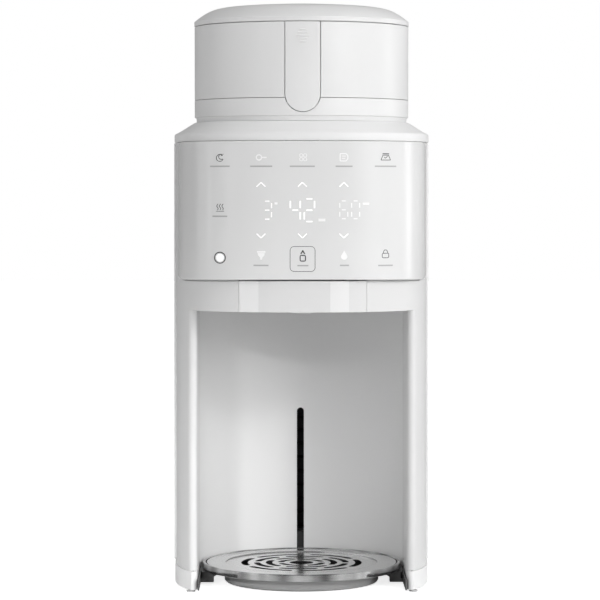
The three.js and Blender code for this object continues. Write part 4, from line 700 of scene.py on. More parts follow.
# %% Skirt
FLOOR, DOCK_X, DOCK_Y = 1.5, -45, 100
ring = cut(upright(body_plan(0.9, REAR - GAP, CORNER), FLOOR, SKIRT),
           upright(body_plan(WALL, REAR - WALL, CORNER), -1, SKIRT + OVER))
shelf = common(upright(body_plan(WALL / 2, REAR - WALL / 2, CORNER), SKIRT - 2.5, SKIRT),
               block(-HALF, HALF, BAY - OVER, REAR, 0, TALL))
inner = common(upright(body_plan(WALL / 2, REAR, WALL), FLOOR, SKIRT),
               upright(alcove_plan(WALL), 0, SKIRT + OVER),
               block(-HALF, HALF, FRONT - OVER, CURVE - GAP, 0, TALL))
skirt = cut(join(ring, shelf, inner), upright(alcove_plan(0), 0, SKIRT + OVER),
            *wing_round(HALF, REACH, 0, SKIRT + OVER))
put("skirt", cut(tapered(skirt), rod(DOCK_X, DOCK_Y, 8.3, 0, 17)), satin_white, "base_skirt", edge=0.25)

# %% [markdown]
# Much of a machine is plain inside: floors, boards, a motor, rails. Their solids already have the
# right form, so a copy of each is merged, its sharp edges are softened and it gets a real finish.
# Hoses get one level of subdivision, which makes their six sides round.


# %% Copies of the frame's own solids
def refined(node_name, material, edge=0.25, smooth=0, limit=38, away=()):
    """A finished copy of a node, with the solids in away (in millimetres) cut from it."""
    source = frame["nodes"][node_name]
    mesh = source.data.copy()
    mesh.transform(source.matrix_world)
    if away:
        mesh.transform(Matrix.Scale(1000, 4))
        mesh = cut(mesh, *away)
        mesh.transform(Matrix.Scale(0.001, 4))
    piece = put(node_name + "_fine", mesh, material, node_name, edge=edge, scale=1, limit=limit)
    if smooth:
        round_off = piece.modifiers.new("round", "SUBSURF")
        round_off.levels = round_off.render_levels = smooth


cup_room = [on_axis(61.5, -1, SKIRT), block(-60.5, 60.5, FRONT, AXIS, -1, SKIRT)]
refined("base_plate", lip_grey, 0.4, away=cup_room)
below_beam = block(-75, 75, FRONT - 4, REAR, 180, BEAM - 0.1)
refined("spout_carrier", satin_white, 0.3, away=[below_beam])
refined("hopper_deck", working_grey)
refined("display_board", circuit_green, 0.1)
refined("power_board", circuit_green, 0.1)
refined("power_inlet", dark_moulding, 0.4)
# The detent strip behind the liner's slot is dark moulding as painted shade, so the slot reads dark.
refined("detent_strip", dark_moulding, 0.15, limit=30)

# %% [markdown]
# The alcove's liner is a half cylinder with a slot for the tray's arm. It is drawn up from two
# arcs, so that its soft, even shading shows no facets, and the slot is cut with a round end. A
# shelf behind it holds the tops of the lift's rods.

# %% Liner
SLOT, SLOT_TOP = 2.5, 112.3
liner = cut(upright(alcove_plan(WALL), 9.1, BEAM - 0.4), upright(alcove_plan(0), 7, BEAM + 1.6),
            block(-90, 90, FRONT - 6, CURVE, 0, TALL))
slot_line = [(-SLOT, 5), (SLOT, 5)] + arc(0, SLOT_TOP, SLOT, 0, pi, 16)
rod_shelf = cut(block(-20, 20, 32.36, 58.3, 128, 131), on_axis(71.7, 0, 200))
put("liner", tapered(join(cut(liner, through(slot_line, AXIS, 39)), rod_shelf)), liner_white,
    "alcove_liner", edge=0.4)

# %% [markdown]
# ## Control panel
# The panel is a thin glossy plate that wraps round the front. Its rows of points follow one
# flattened curve, and four short steps round its rim. Because both long edges share the same
# places across, straight columns fill the face and the reflections run clean.

# %% Panel
PANEL_HALF, PANEL_PROUD, PANEL_POWER, PANEL_TOP, PANEL_CORNER = 85.5, 2.45, 3, 303.3, 3.2


def panel_y(x):
    return curve_y(x, PANEL_HALF, REACH + PANEL_PROUD, PANEL_POWER)


def seat_y(x):
    return curve_y(x, FRAME_HALF + GAP, REACH + GAP)


def panel_ring(inset, depth, surface=panel_y):
    """One loop of the rim: along the top from the right, then back along the bottom."""
    half, corner = PANEL_EDGE - inset, PANEL_CORNER - inset
    low, high = PANEL + inset, PANEL_TOP - inset
    side = [(half - corner + corner * cos(t), corner - corner * sin(t))
            for t in (pi / 2 * i / 8 for i in range(9))]
    middle = [((half - corner) * sin(pi / 2 * k / 60), 0.0) for k in range(59, -60, -1)]
    along = side + middle + [(-x, drop) for x, drop in reversed(side)]
    top = [(x, surface(x) + depth, high - drop) for x, drop in along]
    bottom = [(x, surface(x) + depth, low + drop - SAG * (x / half) ** 2) for x, drop in along]
    return top + bottom[::-1]


rim = 1.1
loops = [panel_ring(0, 0, seat_y)]
for turn in (pi / 2 * k / 4 for k in range(5)):
    loops.append(panel_ring(rim * (1 - cos(turn)), rim * (1 - sin(turn))))
points, faces, count = [p for loop in loops for p in loop], between(loops), len(loops[0])
for start in (0, len(points) - count):
    faces += [(start + i, start + i + 1, start + count - 2 - i, start + count - 1 - i)
              for i in range(count // 2 - 1)]
put("panel", tapered(mesh_of(points, faces)), panel_white, "control_panel", limit=50)
refined("light_guide", hose_skin, 0.2)

# %% [markdown]
# The signs are printed or lit from behind through the panel. Each is drawn as strokes and filled
# outlines in a flat plane, sliced into narrow strips, and then laid on the panel's curve a few
# hundredths of a millimetre proud. The pictures are plain ones of this lesson's own, and most
# stand on a short thin bar.

# %% Places and strokes
STRIP, PROUD, VIEW = 0.8, 0.05, 600


def photo_spot(px, py):
    """Where a sign stands on the panel, from its pixel in the camera's square view."""
    focus = VIEW * camera.data.lens / camera.data.sensor_width
    eye, turn = camera.location * 1000, camera.rotation_euler.to_matrix()
    ray = turn @ Vector(((px - VIEW / 2) / focus, (VIEW / 2 - py) / focus, -1))
    x = 0
    for _ in range(5):
        x, _, z = eye + ray * ((panel_y(x) - eye.y) / ray.y)
    return x, z


def stroke(points, width, closed=False):
    """A line of even width, as one quadrilateral for each of its parts."""
    shapes, half = [], width / 2
    for (ax, az), (bx, bz) in zip(points, points[1:] + points[:1] if closed else points[1:]):
        along = Vector((bx - ax, bz - az))
        if along.length < 1e-6:
            continue
        side = Vector((-along.y, along.x)).normalized() * half
        shapes.append([(ax + side.x, az + side.y), (bx + side.x, bz + side.y),
                       (bx - side.x, bz - side.y), (ax - side.x, az - side.y)])
    return shapes


# %% Laying signs
def lay_signs(name, shapes, material, surface=panel_y, body="housing"):
    """Flat outlines of (x, z), laid on a curved face and given a thin body."""
    work = bmesh.new()
    for shape in shapes:
        work.faces.new([work.verts.new((x, 0, z)) for x, z in shape])
    step = min(v.co.x for v in work.verts) + STRIP
    high = max(v.co.x for v in work.verts)
    while step < high:
        everything = work.verts[:] + work.edges[:] + work.faces[:]
        bmesh.ops.bisect_plane(work, geom=everything, plane_co=(step, 0, 0), plane_no=(1, 0, 0))
        step += STRIP
    for vertex in work.verts:
        vertex.co.y = surface(vertex.co.x / taper(vertex.co.z)) - PROUD
    for face in work.faces:
        face.normal_update()
        if face.normal.y > 0:
            face.normal_flip()
    mesh = bpy.data.meshes.new(name)
    work.to_mesh(mesh)
    work.free()
    mesh.transform(Matrix.Scale(0.001, 4))
    mesh.materials.append(material)
    piece = placed(name, mesh)
    thick = piece.modifiers.new("thickness", "SOLIDIFY")
    thick.thickness, thick.offset = 0.0001, -1
    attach(piece, body)
    print(name, "shapes", len(shapes))


# %% [markdown]
# The pictures: a moon for the quiet mode, a scoop, a flower of four petals for warmth, a
# measuring cup, a balance, waves for heating, a ring, a funnel, a bottle in a frame, a drop and
# a padlock. Between them stand marks to raise and lower each figure.

# %% Pictures
def moved(shapes, spot):
    return [[(x + spot[0], z + spot[1]) for x, z in shape] for shape in shapes]


def bar(x, z, wide, high):
    return [(x - wide / 2, z - high / 2), (x + wide / 2, z - high / 2),
            (x + wide / 2, z + high / 2), (x - wide / 2, z + high / 2)]


def box_line(half_x, half_z, corner, width):
    line = []
    for sx, sz, start in ((1, 1, 0), (-1, 1, 1), (-1, -1, 2), (1, -1, 3)):
        line += arc(sx * (half_x - corner), sz * (half_z - corner), corner,
                    start * pi / 2, (start + 1) * pi / 2, 5)
    return stroke(line, width, closed=True)


THIN, BOLD, MARK = 0.42, 0.62, 0.64
crescent = arc(0, 0, 2.3, 0.75, 2 * pi - 0.35, 20) + arc(1.0, 0.75, 1.75, 5.2, 1.6, 12)
jug_line = [(-2.6, 2.4), (-2.6, -2.4), (1.3, -2.4), (2.5, -0.9), (2.5, 1.1), (1.3, 2.4)]
shackle = [(x, 1.5 * z + 1.5) for x, z in arc(0, 0, 1.5, 0, pi, 12)]
pictures = {
    "moon": stroke(crescent, THIN, closed=True) + [bar(1.3, 1.5, 1.1, 0.35), bar(2.0, 2.4, 0.9, 0.3)],
    "scoop": stroke(arc(-1.5, 0, 1.75, 0, 2 * pi, 16), 0.8) + stroke([(0.3, 0), (3.6, 0)], 0.9),
    "petals": [shape for x, z in ((-1.3, 1.3), (1.3, 1.3), (-1.3, -1.3), (1.3, -1.3))
               for shape in moved(box_line(1.0, 1.0, 0.6, THIN), (x, z))],
    "jug": stroke(jug_line, BOLD, closed=True) + stroke([(-1.4, 0.8), (1.3, 0.8)], THIN)
    + stroke([(-1.4, -0.7), (0.6, -0.7)], THIN),
    "balance": stroke([(-3.2, -2), (3.2, -2), (1.9, 1.2), (-1.9, 1.2)], THIN, closed=True)
    + stroke([(-2.2, 2.1), (2.2, 2.1)], BOLD) + stroke([(-1.0, -0.1), (-0.3, -0.8), (1.2, 0.6)], THIN),
    "waves": [shape for x in (-1.7, 0, 1.7) for shape in
              stroke([(x + 0.5 * sin(k * 0.9), -1.6 + 0.5 * k) for k in range(9)], THIN)]
    + [bar(0, -2.4, 5.2, 0.35)],
    "ring": stroke(arc(0, 0, 3.6, 0, 2 * pi, 40), 0.7),
    "ring light": [arc(0, 0, 2.5, 0, 2 * pi, 32)[:-1]],
    "funnel": [bar(0, 2.2, 5.6, 1.1),
               [(-2.4, 1.4), (2.4, 1.4), (2.0, -0.2), (0.8, -1.4), (0.5, -3.0), (-0.5, -3.0),
                (-0.8, -1.4), (-2.0, -0.2)]],
    "bottle": moved(box_line(1.75, 1.85, 0.7, 0.7), (0, -1.5))
    + stroke([(-1.3, 1.4), (0, 3.3), (1.3, 1.4)], 0.75) + [bar(0, 3.3, 0.9, 1.0)],
    "frame": box_line(8.2, 8.2, 2.6, 0.34),
    "drop": [[(0, 3.3)] + [(2.15 * cos(t), -0.7 + 2.0 * sin(t)) for t in
                           (pi * (0.16 - 1.32 * k / 16) for k in range(17))]],
    "padlock": box_line(2.2, 1.5, 0.7, THIN) + stroke(shackle, THIN),
    "rise": stroke([(-2.9, -1.4), (0, 1.4), (2.9, -1.4)], MARK),
    "fall": stroke([(-2.9, 1.4), (0, -1.4), (2.9, 1.4)], MARK),
}
print("pictures drawn", len(pictures))

# %% [markdown]
# The figures are made of seven straight segments, as on such displays: 3, 42 and 60. Places are
# read in the camera's view, by name, and widths of bars in its pixels, of PIXEL millimetres each.

# %% Places of the signs
SEGMENTS = {"3": "abcdg", "4": "fgbc", "2": "abged", "6": "afgedc", "0": "abcdef"}
PIXEL, BAR, TRIM = 0.657, 0.9, 1.35
COLUMNS, RISE_Y, FALL_Y = (261.0, 302.4, 343.9), 184.5, 235.8
DARK_SPOTS = {"moon": (219.8, 157.9), "balance": (385.8, 157.0), "waves": (220.0, 207.6),
              "ring": (219.9, 257.7), "bottle": (302.8, 256.0), "frame": (302.6, 259.0),
              "padlock": (385.5, 255.5)}
FAINT_SPOTS = {"scoop": (261.2, 157.4), "petals": (303.2, 157.3), "jug": (344.1, 157.3),
               "funnel": (261.2, 255.2), "drop": (344.2, 255.6)}
FIGURES = {"3": (267.2, 210.2, 5.6, 11.8, 0.7), "4": (295.3, 210.2, 6.5, 14.9, 0.88),
           "2": (309.4, 210.2, 6.7, 14.9, 0.88), "6": (343.8, 209.8, 5.3, 11.7, 0.72),
           "0": (355.6, 209.8, 5.3, 11.7, 0.72)}
BESIDE_FIGURES = {"3": (276.0, 203.4, 2.0, 1.4), "42": (321.9, 220.0, 4.6, 1.8),
                  "60": (366.0, 203.6, 4.2, 1.2)}
BARS = {"moon": (219.8, 166.3, 20), "scoop": (261.2, 166.3, 22), "petals": (302.3, 166.3, 25),
        "jug": (344.1, 166.3, 17), "balance": (385.6, 166.3, 22), "waves": (219.8, 216.3, 15),
        "funnel": (261, 265.4, 15), "bottle": (302.9, 265.6, 11), "drop": (344.5, 265.4, 9),
        "padlock": (385.5, 265.4, 15)}


# %% Figures and laid signs
def figure(mark, wide, high, width):
    w, h = wide / 2, high / 2
    ends = {"a": ((-w, h), (w, h)), "b": ((w, h), (w, 0)), "c": ((w, 0), (w, -h)),
            "d": ((-w, -h), (w, -h)), "e": ((-w, 0), (-w, -h)), "f": ((-w, h), (-w, 0)),
            "g": ((-w, 0), (w, 0))}
    shapes = []
    for key in SEGMENTS[mark]:
        (ax, az), (bx, bz) = ends[key]
        if az == bz:
            shapes += stroke([(ax + TRIM, az), (bx - TRIM, bz)], width)
        else:
            shapes += stroke([(ax, az - TRIM), (bx, bz + TRIM)], width)
    return shapes


def shown(name, px, py):
    return moved(pictures[name], photo_spot(px, py))


dark = [shape for name, spot in DARK_SPOTS.items() for shape in shown(name, *spot)]
faint = [shape for name, spot in FAINT_SPOTS.items() for shape in shown(name, *spot)]
lit = shown("ring light", *DARK_SPOTS["ring"])
for column in COLUMNS:
    lit += shown("rise", column, RISE_Y) + shown("fall", column, FALL_Y)
for mark, (px, py, *size) in FIGURES.items():
    (lit if mark in "342" else faint).extend(moved(figure(mark, *size), photo_spot(px, py)))
faint += [bar(*photo_spot(px, py), wide, high) for px, py, wide, high in BESIDE_FIGURES.values()]
bars = [bar(*photo_spot(px, py), wide * PIXEL, BAR) for px, py, wide in BARS.values()]
lay_signs("printed_signs", dark, dark_ink)
lay_signs("printed_bars", bars, pale_ink)
lay_signs("lit_signs", lit, lit_sign)
lay_signs("lit_figures", faint, faint_sign)

# %% [markdown]
# ## Drawer and funnel
# Behind the band under the panel sits a small drawer that carries the mixing funnel to the sink.
# Its face is cut from the same curve as the front frame, so it closes flush. Two thin sheets of
# a paler finish lie on it.

# %% Drawer
def frame_y(x):
    return curve_y(x, FRAME_HALF, REACH)


def face_pad(left, right):
    low, high = BEAM + 0.1, DRAWER - 0.1
    return [(left, low), (right, low), (right, high), (left, high)]


face = common(cut(upright(frame_plan(0, REAR), BEAM, DRAWER),
                  upright(frame_plan(WALL, REAR + OVER), BEAM - OVER, DRAWER + OVER)),
              block(-DRAWER_HALF, DRAWER_HALF, FRONT, AXIS, BEAM, DRAWER))
rails = [block(left, right, FRONT, 1.2, 198.9, 205.4) for left, right in pair(36, 38)]
drawer_floor = join(block(-38, 38, FRONT, 1.2, 203.4, 205.4), *rails)
drawer_floor = cut(common(drawer_floor, upright(frame_plan(WALL / 2, REAR), BEAM, DRAWER)),
                   on_axis(30.2, 200, 212))
put("drawer", join(face, drawer_floor), shaded_frame_white, "funnel_drawer", edge=0.06)
lay_signs("pale_sheets", [face_pad(-42.1, -29.3), face_pad(18.0, 30.4)], pale_sheet_finish, frame_y, "drawer")
funnel_profile = [(5.9, 186), (7.5, 186), (7.5, 191.4), (29.9, 203.1), (29.9, 205.7), (33.5, 205.7),
                  (33.5, 207.3), (29.9, 207.3), (29.9, 208.6), (28.3, 208.6), (28.3, 205.7), (5.9, 192.2)]
put("funnel", turned(eased(funnel_profile, 0.4)), satin_white, "mixing_funnel")

# %% [markdown]
# ## Powder hopper
# The hopper is a drum on a ring that locks into the shoulder. Turned profiles with eased corners
# give its soft edges. The front of both is cut for a long latch with a round end, which sits
# flush and leaves a fine, dark line all round.

# %% Ring and drum
DRUM, DRUM_TOP, SEAM, LATCH, LATCH_BACK = 73.5, 382.4, 332.1, 11.6, -106.43
PIVOT_Y, PIVOT_Z, PIN_HOLE = -104.6, 329.0, 1.35
HINGE_Y, HINGE_Z, KNUCKLE, HINGE_HOLE = 40.6, 384.0, 3, 1.65


def latch_line(offset, top):
    half = LATCH + offset
    return arc(0, 323 + LATCH, half, -pi, 0, 40) + [(half, top), (-half, top)]


ring_profile = [(4.3, 319.1), (58.4, 319.1), (58.4, 311), (61.4, 311), (61.4, 319.1), (66, 319.1),
                (66, 317.1), (72.1, 317.1), (72.3, 320.1), (DRUM, 320.6), (DRUM, SEAM), (71.3, SEAM),
                (71.3, 321.5), (4.3, 321.5)]
ring_body = cut(turned(eased(ring_profile, 0.3)),
                through(latch_line(0.45, DRUM_TOP), FRONT - OVER, LATCH_BACK),
                rod(0, AXIS - 26, 8, 317, 325))
posts = [cut(block(left, right, PIVOT_Y - 2.4, PIVOT_Y + 2.4, 321.2, 331.4),
             cross_rod(-12, 12, PIVOT_Y, PIVOT_Z, PIN_HOLE)) for left, right in pair(7.5, 10.5)]
put("hopper_ring", join(ring_body, *posts), drum_white, "hopper_base", edge=0.2, limit=50)

drum_profile = [(DRUM, SEAM + GAP), (DRUM, DRUM_TOP), (64.5, DRUM_TOP), (64.5, 344.4), (57, 335.9),
                (4.3, 335.9), (4.3, 333.7), (58.1, 333.7), (66.7, 343.3), (66.7, 380), (71.3, 380),
                (71.3, SEAM + GAP)]
rim_room = cut(block(-12.05, 12.05, -112, -101, 378, 384.4), on_axis(66.7, 370, 390))
drum = cut(turned(eased(drum_profile, 0.3)),
           through(latch_line(0.45, DRUM_TOP + OVER), FRONT - OVER, LATCH_BACK),
           rod(0, AXIS + 26, 8, 331, 338), rim_room)
hinge_hole = (-24, 24, HINGE_Y, HINGE_Z, HINGE_HOLE)
ears = []
for left, right in pair(8.3, 16):
    ear = join(cross_rod(left, right, HINGE_Y, HINGE_Z, KNUCKLE),
               block(left, right, 34.8, HINGE_Y, 378, HINGE_Z))
    ears.append(cut(ear, on_axis(72.4, 370, 390), on_axis(74.3, DRUM_TOP, 390), cross_rod(*hinge_hole)))
put("drum", join(drum, *ears), drum_white, "powder_drum", edge=0.2, limit=50)

# %% [markdown]
# The lid is a low dome. Its outline is a smooth curve through a few points, with a soft crease
# above the brim. A short plug below centres it in the bowl and carries a rubber seal.


# %% Lid
def curve_through(points, steps=8):
    """A Catmull-Rom curve through the points."""
    out = []
    for i in range(len(points) - 1):
        a, b = points[max(i - 1, 0)], points[i]
        c, d = points[i + 1], points[min(i + 2, len(points) - 1)]
        for t in (k / steps for k in range(steps)):
            out.append(tuple(
                0.5 * (2 * b[n] + (c[n] - a[n]) * t + (2 * a[n] - 5 * b[n] + 4 * c[n] - d[n]) * t * t
                       + (3 * b[n] - a[n] - 3 * c[n] + d[n]) * t ** 3) for n in (0, 1)))
    return out + [points[-1]]


brim = [(73.3, 382.8), (73.7, 383.2), (73.7, 385.9)]
dome_line = curve_through([(73.5, 386.1), (71.7, 387.6), (69.4, 389.3), (65.9, 391.5), (61.5, 393.6),
                           (55, 395.1), (42, 396.2), (22, 397.6), (0, 398.4)])
under = curve_through([(0, 396.0), (26, 395.2), (45, 393.9), (59, 391.7), (66, 388.2),
                       (71.3, 384.0)], 4)
dome = turned(brim + dome_line + under + [(71.3, 383.0)])
below_dome = [(max(radius - 0.6, 0), z - 1.2) for radius, z in dome_line if radius < 70]
plug = common(turned([(60.2, 377), (62, 377), (62, 400), (60.2, 400)]),
              turned([(0, 300), (71, 300), (71, 385)] + below_dome))
knuckle = cut(join(cross_rod(-7.7, 7.7, HINGE_Y, HINGE_Z, KNUCKLE),
                   block(-7.7, 7.7, 36.0, HINGE_Y, HINGE_Z - 0.3, 387)),
              cross_rod(*hinge_hole), on_axis(71.6, 370, 386))
put("lid", join(dome, plug, knuckle), drum_white, "hopper_lid")
seal_profile = [(62.3, 378), (64.1, 378), (64.1, 381.5), (62.3, 381.5)]
put("seal", turned(eased(seal_profile, 0.5)), soft_rubber, "lid_seal")

# %% [markdown]
# The latch is a slice of the drum's wall that swings on a pin near its foot. Behind it a stem
# ends in a hook that holds the lid.

# %% Latch
STEM_FRONT, STEM_BACK, STEM_LOW, HOOK_TOP = -108.9, -105.2, 374, 384
skin = common(turned([(71.6, 321), (DRUM, 321), (DRUM, DRUM_TOP), (71.6, DRUM_TOP)]),
              through(latch_line(0, DRUM_TOP), FRONT, AXIS))
stem = join(block(-5, 5, STEM_FRONT + 2, STEM_BACK, STEM_LOW, HOOK_TOP),
            block(-5, 5, STEM_FRONT, STEM_BACK, STEM_LOW, DRUM_TOP))
lug = cut(join(cross_rod(-5.5, 5.5, PIVOT_Y, PIVOT_Z, 2.4),
               block(-5.5, 5.5, STEM_FRONT, PIVOT_Y, PIVOT_Z - 1.2, PIVOT_Z + 1.2)),
          cross_rod(-12, 12, PIVOT_Y, PIVOT_Z, PIN_HOLE),
          block(-2.75, 2.75, PIVOT_Y - 3, 0, PIVOT_Z - 3, PIVOT_Z + 3))
put("latch", join(skin, stem, lug), drum_white, "latch_tab", edge=0.35)

# %% [markdown]
# ## Things that repeat
# Geometry Nodes suits things that repeat: a pocket, a slot or a paddle is modelled once and the
# tree sets it round an axis. Named inputs hold the count and the centre. Each tree is run once,
# its mesh is read back, and the modifier goes away with the object that carried it.

# %% Running a tree
SHAPE = "NodeSocketGeometry"


def shape_tree(name, inputs):
    return new_tree(name, "GeometryNodeTree",
                    [("Geometry", SHAPE)] + inputs + [("Material", "NodeSocketMaterial")],
                    [("Geometry", SHAPE)])


def ending(tree, geometry, enter, leave):
    """Every tree ends alike: real geometry with a material."""
    real = node(tree, "GeometryNodeRealizeInstances", [("Geometry", geometry)])
    coloured = node(tree, "GeometryNodeSetMaterial",
                    [("Geometry", real), ("Material", enter["Material"])])
    tree.links.new(coloured.outputs[0], leave[0])
    print("tree", tree.name, "has", len(tree.nodes), "nodes")


def grown(tree, mesh, material, **values):
    """The mesh that a Geometry Nodes tree makes from the given one."""
    holder = placed("grower", mesh)
    grower = holder.modifiers.new("grower", "NODES")
    grower.node_group = tree
    names = {item.name: item.identifier for item in tree.interface.items_tree
             if getattr(item, "in_out", "") == "INPUT"}
    for key, value in spaced({**values, "Material": material}):
        grower[names[key]] = value
    made = evaluated(holder)
    bpy.data.objects.remove(holder)
    return made


# %% [markdown]
# The first tree sets copies of a part round an upright axis, each turned by its share of a full
# turn.

# %% Round an axis
round_axis, enter, leave = shape_tree(
    "repeat round an axis", [("Count", WHOLE, 6), ("Centre", PLACE, (0, 0, 0)), ("Start", NUMBER, 0)])
tree = round_axis
back_home = vector(tree, "SCALE", (0, enter["Centre"]), ("Scale", -1.0))
at_axis = node(tree, "GeometryNodeTransform",
               [("Geometry", enter["Geometry"]), ("Translation", back_home)])
spots = node(tree, "GeometryNodePoints", [("Count", enter["Count"]), ("Position", enter["Centre"])])
share = calc(tree, "DIVIDE", node(tree, "GeometryNodeInputIndex"), enter["Count"])
angle = calc(tree, "MULTIPLY_ADD", share, 2 * pi, enter["Start"])
facing = node(tree, "ShaderNodeCombineXYZ", [("Z", angle)])
copies = node(tree, "GeometryNodeInstanceOnPoints",
              [("Points", spots), ("Instance", at_axis), ("Rotation", facing)])
ending(tree, copies, enter, leave)

# %% [markdown]
# The second tree winds a wire into a coil spring and sets it on its foot.

# %% Coil spring
coil, enter, leave = shape_tree(
    "coil spring", [("Turns", NUMBER, 4), ("Coil", NUMBER, 4), ("Height", NUMBER, 10),
                    ("Wire", NUMBER, 0.5), ("Foot", PLACE, (0, 0, 0)), ("Lean", PLACE, (0, 0, 0))])
helix = node(coil, "GeometryNodeCurveSpiral",
             [("Resolution", 32), ("Rotations", enter["Turns"]), ("Start Radius", enter["Coil"]),
              ("End Radius", enter["Coil"]), ("Height", enter["Height"])])
thread = node(coil, "GeometryNodeCurvePrimitiveCircle", [("Resolution", 12), ("Radius", enter["Wire"])])
wire = node(coil, "GeometryNodeCurveToMesh",
            [("Curve", helix), ("Profile Curve", thread), ("Fill Caps", True)])
set_up = node(coil, "GeometryNodeTransform",
              [("Geometry", wire), ("Translation", enter["Foot"]), ("Rotation", enter["Lean"])])
ending(coil, set_up, enter, leave)

# %% [markdown]
# The third sets copies in a row, each one narrower the further it stands from the middle.

# %% Row of parts
row, enter, leave = shape_tree(
    "row of parts", [("Count", WHOLE, 5), ("Step", PLACE, (0, 0, 2)), ("Narrower", NUMBER, 0.3)])
middle = calc(row, "MULTIPLY", calc(row, "SUBTRACT", enter["Count"], 1.0), 0.5)
away = calc(row, "SUBTRACT", node(row, "GeometryNodeInputIndex"), middle)
loss = calc(row, "MULTIPLY", calc(row, "ABSOLUTE", away), enter["Narrower"])
width = calc(row, "SUBTRACT", 1.0, loss)
size = node(row, "ShaderNodeCombineXYZ", [("X", width), ("Y", 1.0), ("Z", 1.0)])
spot = vector(row, "SCALE", (0, enter["Step"]), ("Scale", away))
spots = node(row, "GeometryNodePoints", [("Count", enter["Count"]), ("Position", spot)])
copies = node(row, "GeometryNodeInstanceOnPoints",
              [("Points", spots), ("Instance", enter["Geometry"]), ("Scale", size)])
ending(row, copies, enter, leave)

# %% [markdown]
# Short ridges on the latch tell the thumb where to press. They are a row of five little bars,
# narrower away from the middle one. The bars are modelled at the origin and the finished row is
# moved up to the thumb's place.

# %% Ridges on the latch
ridge = cross_rod(-4.2, 4.2, 0, 0, 0.6, 16)
ridges = grown(row, ridge, drum_white, Count=5, Step=(0, 0, 2.0), Narrower=0.29)
ridges.transform(Matrix.Translation((0, AXIS - DRUM + 0.15, 373.1)))
put("latch_ridges", ridges, drum_white, body="latch")

# %% [markdown]
# ## Drip tray
# Three pieces lie in each other: a turned steel ring, a cup, and the grille. The ring hangs on a
# real arm that runs through the slot behind; its dark colour is painted shade, so the slot looks
# evenly dark from the front.

# %% Ring and cup
ring_profile = [(54.4, 9.2), (68.2, 9.2), (68.2, 14), (66.4, 14), (66.4, 10.3), (54.4, 10.3)]
put("tray", turned(eased(ring_profile, 0.5, 4)), rim_steel, "tray_ring", edge=0.2, limit=50)
arm_profile = [(30.8, 9.3), (44.7, 9.3), (44.7, 25), (37, 25), (37, 13.8), (30.8, 13.8)]
put("tray_arm", across(arm_profile, -1.7, 1.7), dark_moulding, body="tray", edge=0.2)
cup_profile = [(0, 0.2), (52.0, 0.2), (53.3, 1.5), (53.3, 10.6), (60, 10.6), (60, 11.4),
               (51.7, 11.4), (51.7, 3.0), (50.9, 2.2), (0, 2.2)]
put("cup", turned(eased(cup_profile, 0.9, 4)), cup_grey, "drip_cup")
# The cup's near-black lining is painted shade: a dark sheet that stands for the shade inside the cup
# under the grille.
painted_shade_profile = [(0, 2.2), (50.6, 2.2), (51.68, 3.2), (51.68, 11), (51.3, 11), (51.3, 3.4),
                  (50.4, 2.5), (0, 2.5)]
put("cup_painted_shade", turned(eased(painted_shade_profile, 0.2)), dark_moulding, body="cup")

# %% [markdown]
# The grille's slots are cut from one arc-shaped slot for each circle, repeated round the axis.


# %% Grille
def arc_slot(inner, outer, reach):
    radius, centre = (outer - inner) / 2, (outer + inner) / 2
    reach -= radius / centre
    ends = [(centre * cos(a), AXIS + centre * sin(a)) for a in (reach, -reach)]
    return (arc(0, AXIS, outer, -reach, reach, 40)
            + arc(*ends[0], radius, reach, reach + pi, 12)[1:-1]
            + arc(0, AXIS, inner, reach, -reach, 40)
            + arc(*ends[1], radius, pi - reach, 2 * pi - reach, 12)[1:-1])


SLOT_WIDTH, BRIDGE, CENTRE_HOLE = 4.5, 5, 8.2
cutters = [rod(0, AXIS, CENTRE_HOLE, 8, 18),
           turned([(52.0, 12.35), (52.6, 12.35), (52.6, 14), (52.0, 14)])]
for inner, count, start in ((12.3, 4, 50), (20.3, 4, 10), (28.5, 6, 25), (37.3, 6, -6)):
    reach = pi / count - BRIDGE / (2 * inner + SLOT_WIDTH)
    slot = upright(arc_slot(inner, inner + SLOT_WIDTH, reach), 8, 18)
    cutters.append(grown(round_axis, slot, disc_steel, Count=count, Centre=(0, AXIS, 0),
                         Start=radians(start)))
plate_profile = [(0, 11.8), (52.6, 11.8), (53.6, 12.7), (64.5, 12.7), (64.5, 10.6), (65.7, 10.6),
                 (65.7, 13.7), (52.6, 13.7), (52.6, 12.8), (0, 12.8)]
put("grille", cut(turned(eased(plate_profile, 0.3)), *cutters), disc_steel, "grille_plate", edge=0.15,
    limit=50)

# %% [markdown]
# The lift behind the alcove is a slider on two steel rods, held at each height by a sprung ball
# that drops into a notched strip.

# %% Lift
ROD_X, ROD_Y, BUSH = 14, 52, 3.3
slider = cut(block(-19.5, 19.5, 45, 59, 6, 26), rod(ROD_X, ROD_Y, BUSH, 0, 30),
             rod(-ROD_X, ROD_Y, BUSH, 0, 30), through(circle(0, 16, 2.3, 32), 53, 62))
put("slider", slider, dark_moulding, "lift_slider", edge=0.6)
for x, tag in ((ROD_X, "right"), (-ROD_X, "left")):
    put("rod_" + tag, rod(x, ROD_Y, 3, 4.3, 127.7), bar_steel, "guide_rod_" + tag, edge=0.4)
refined("detent_plunger", bar_steel, 0.2)

# %% [markdown]
# ## Dosing works
# The wheel that measures the powder has eight pockets between spokes; the stirrer above has three
# curved paddles. Both come from the round-an-axis tree.

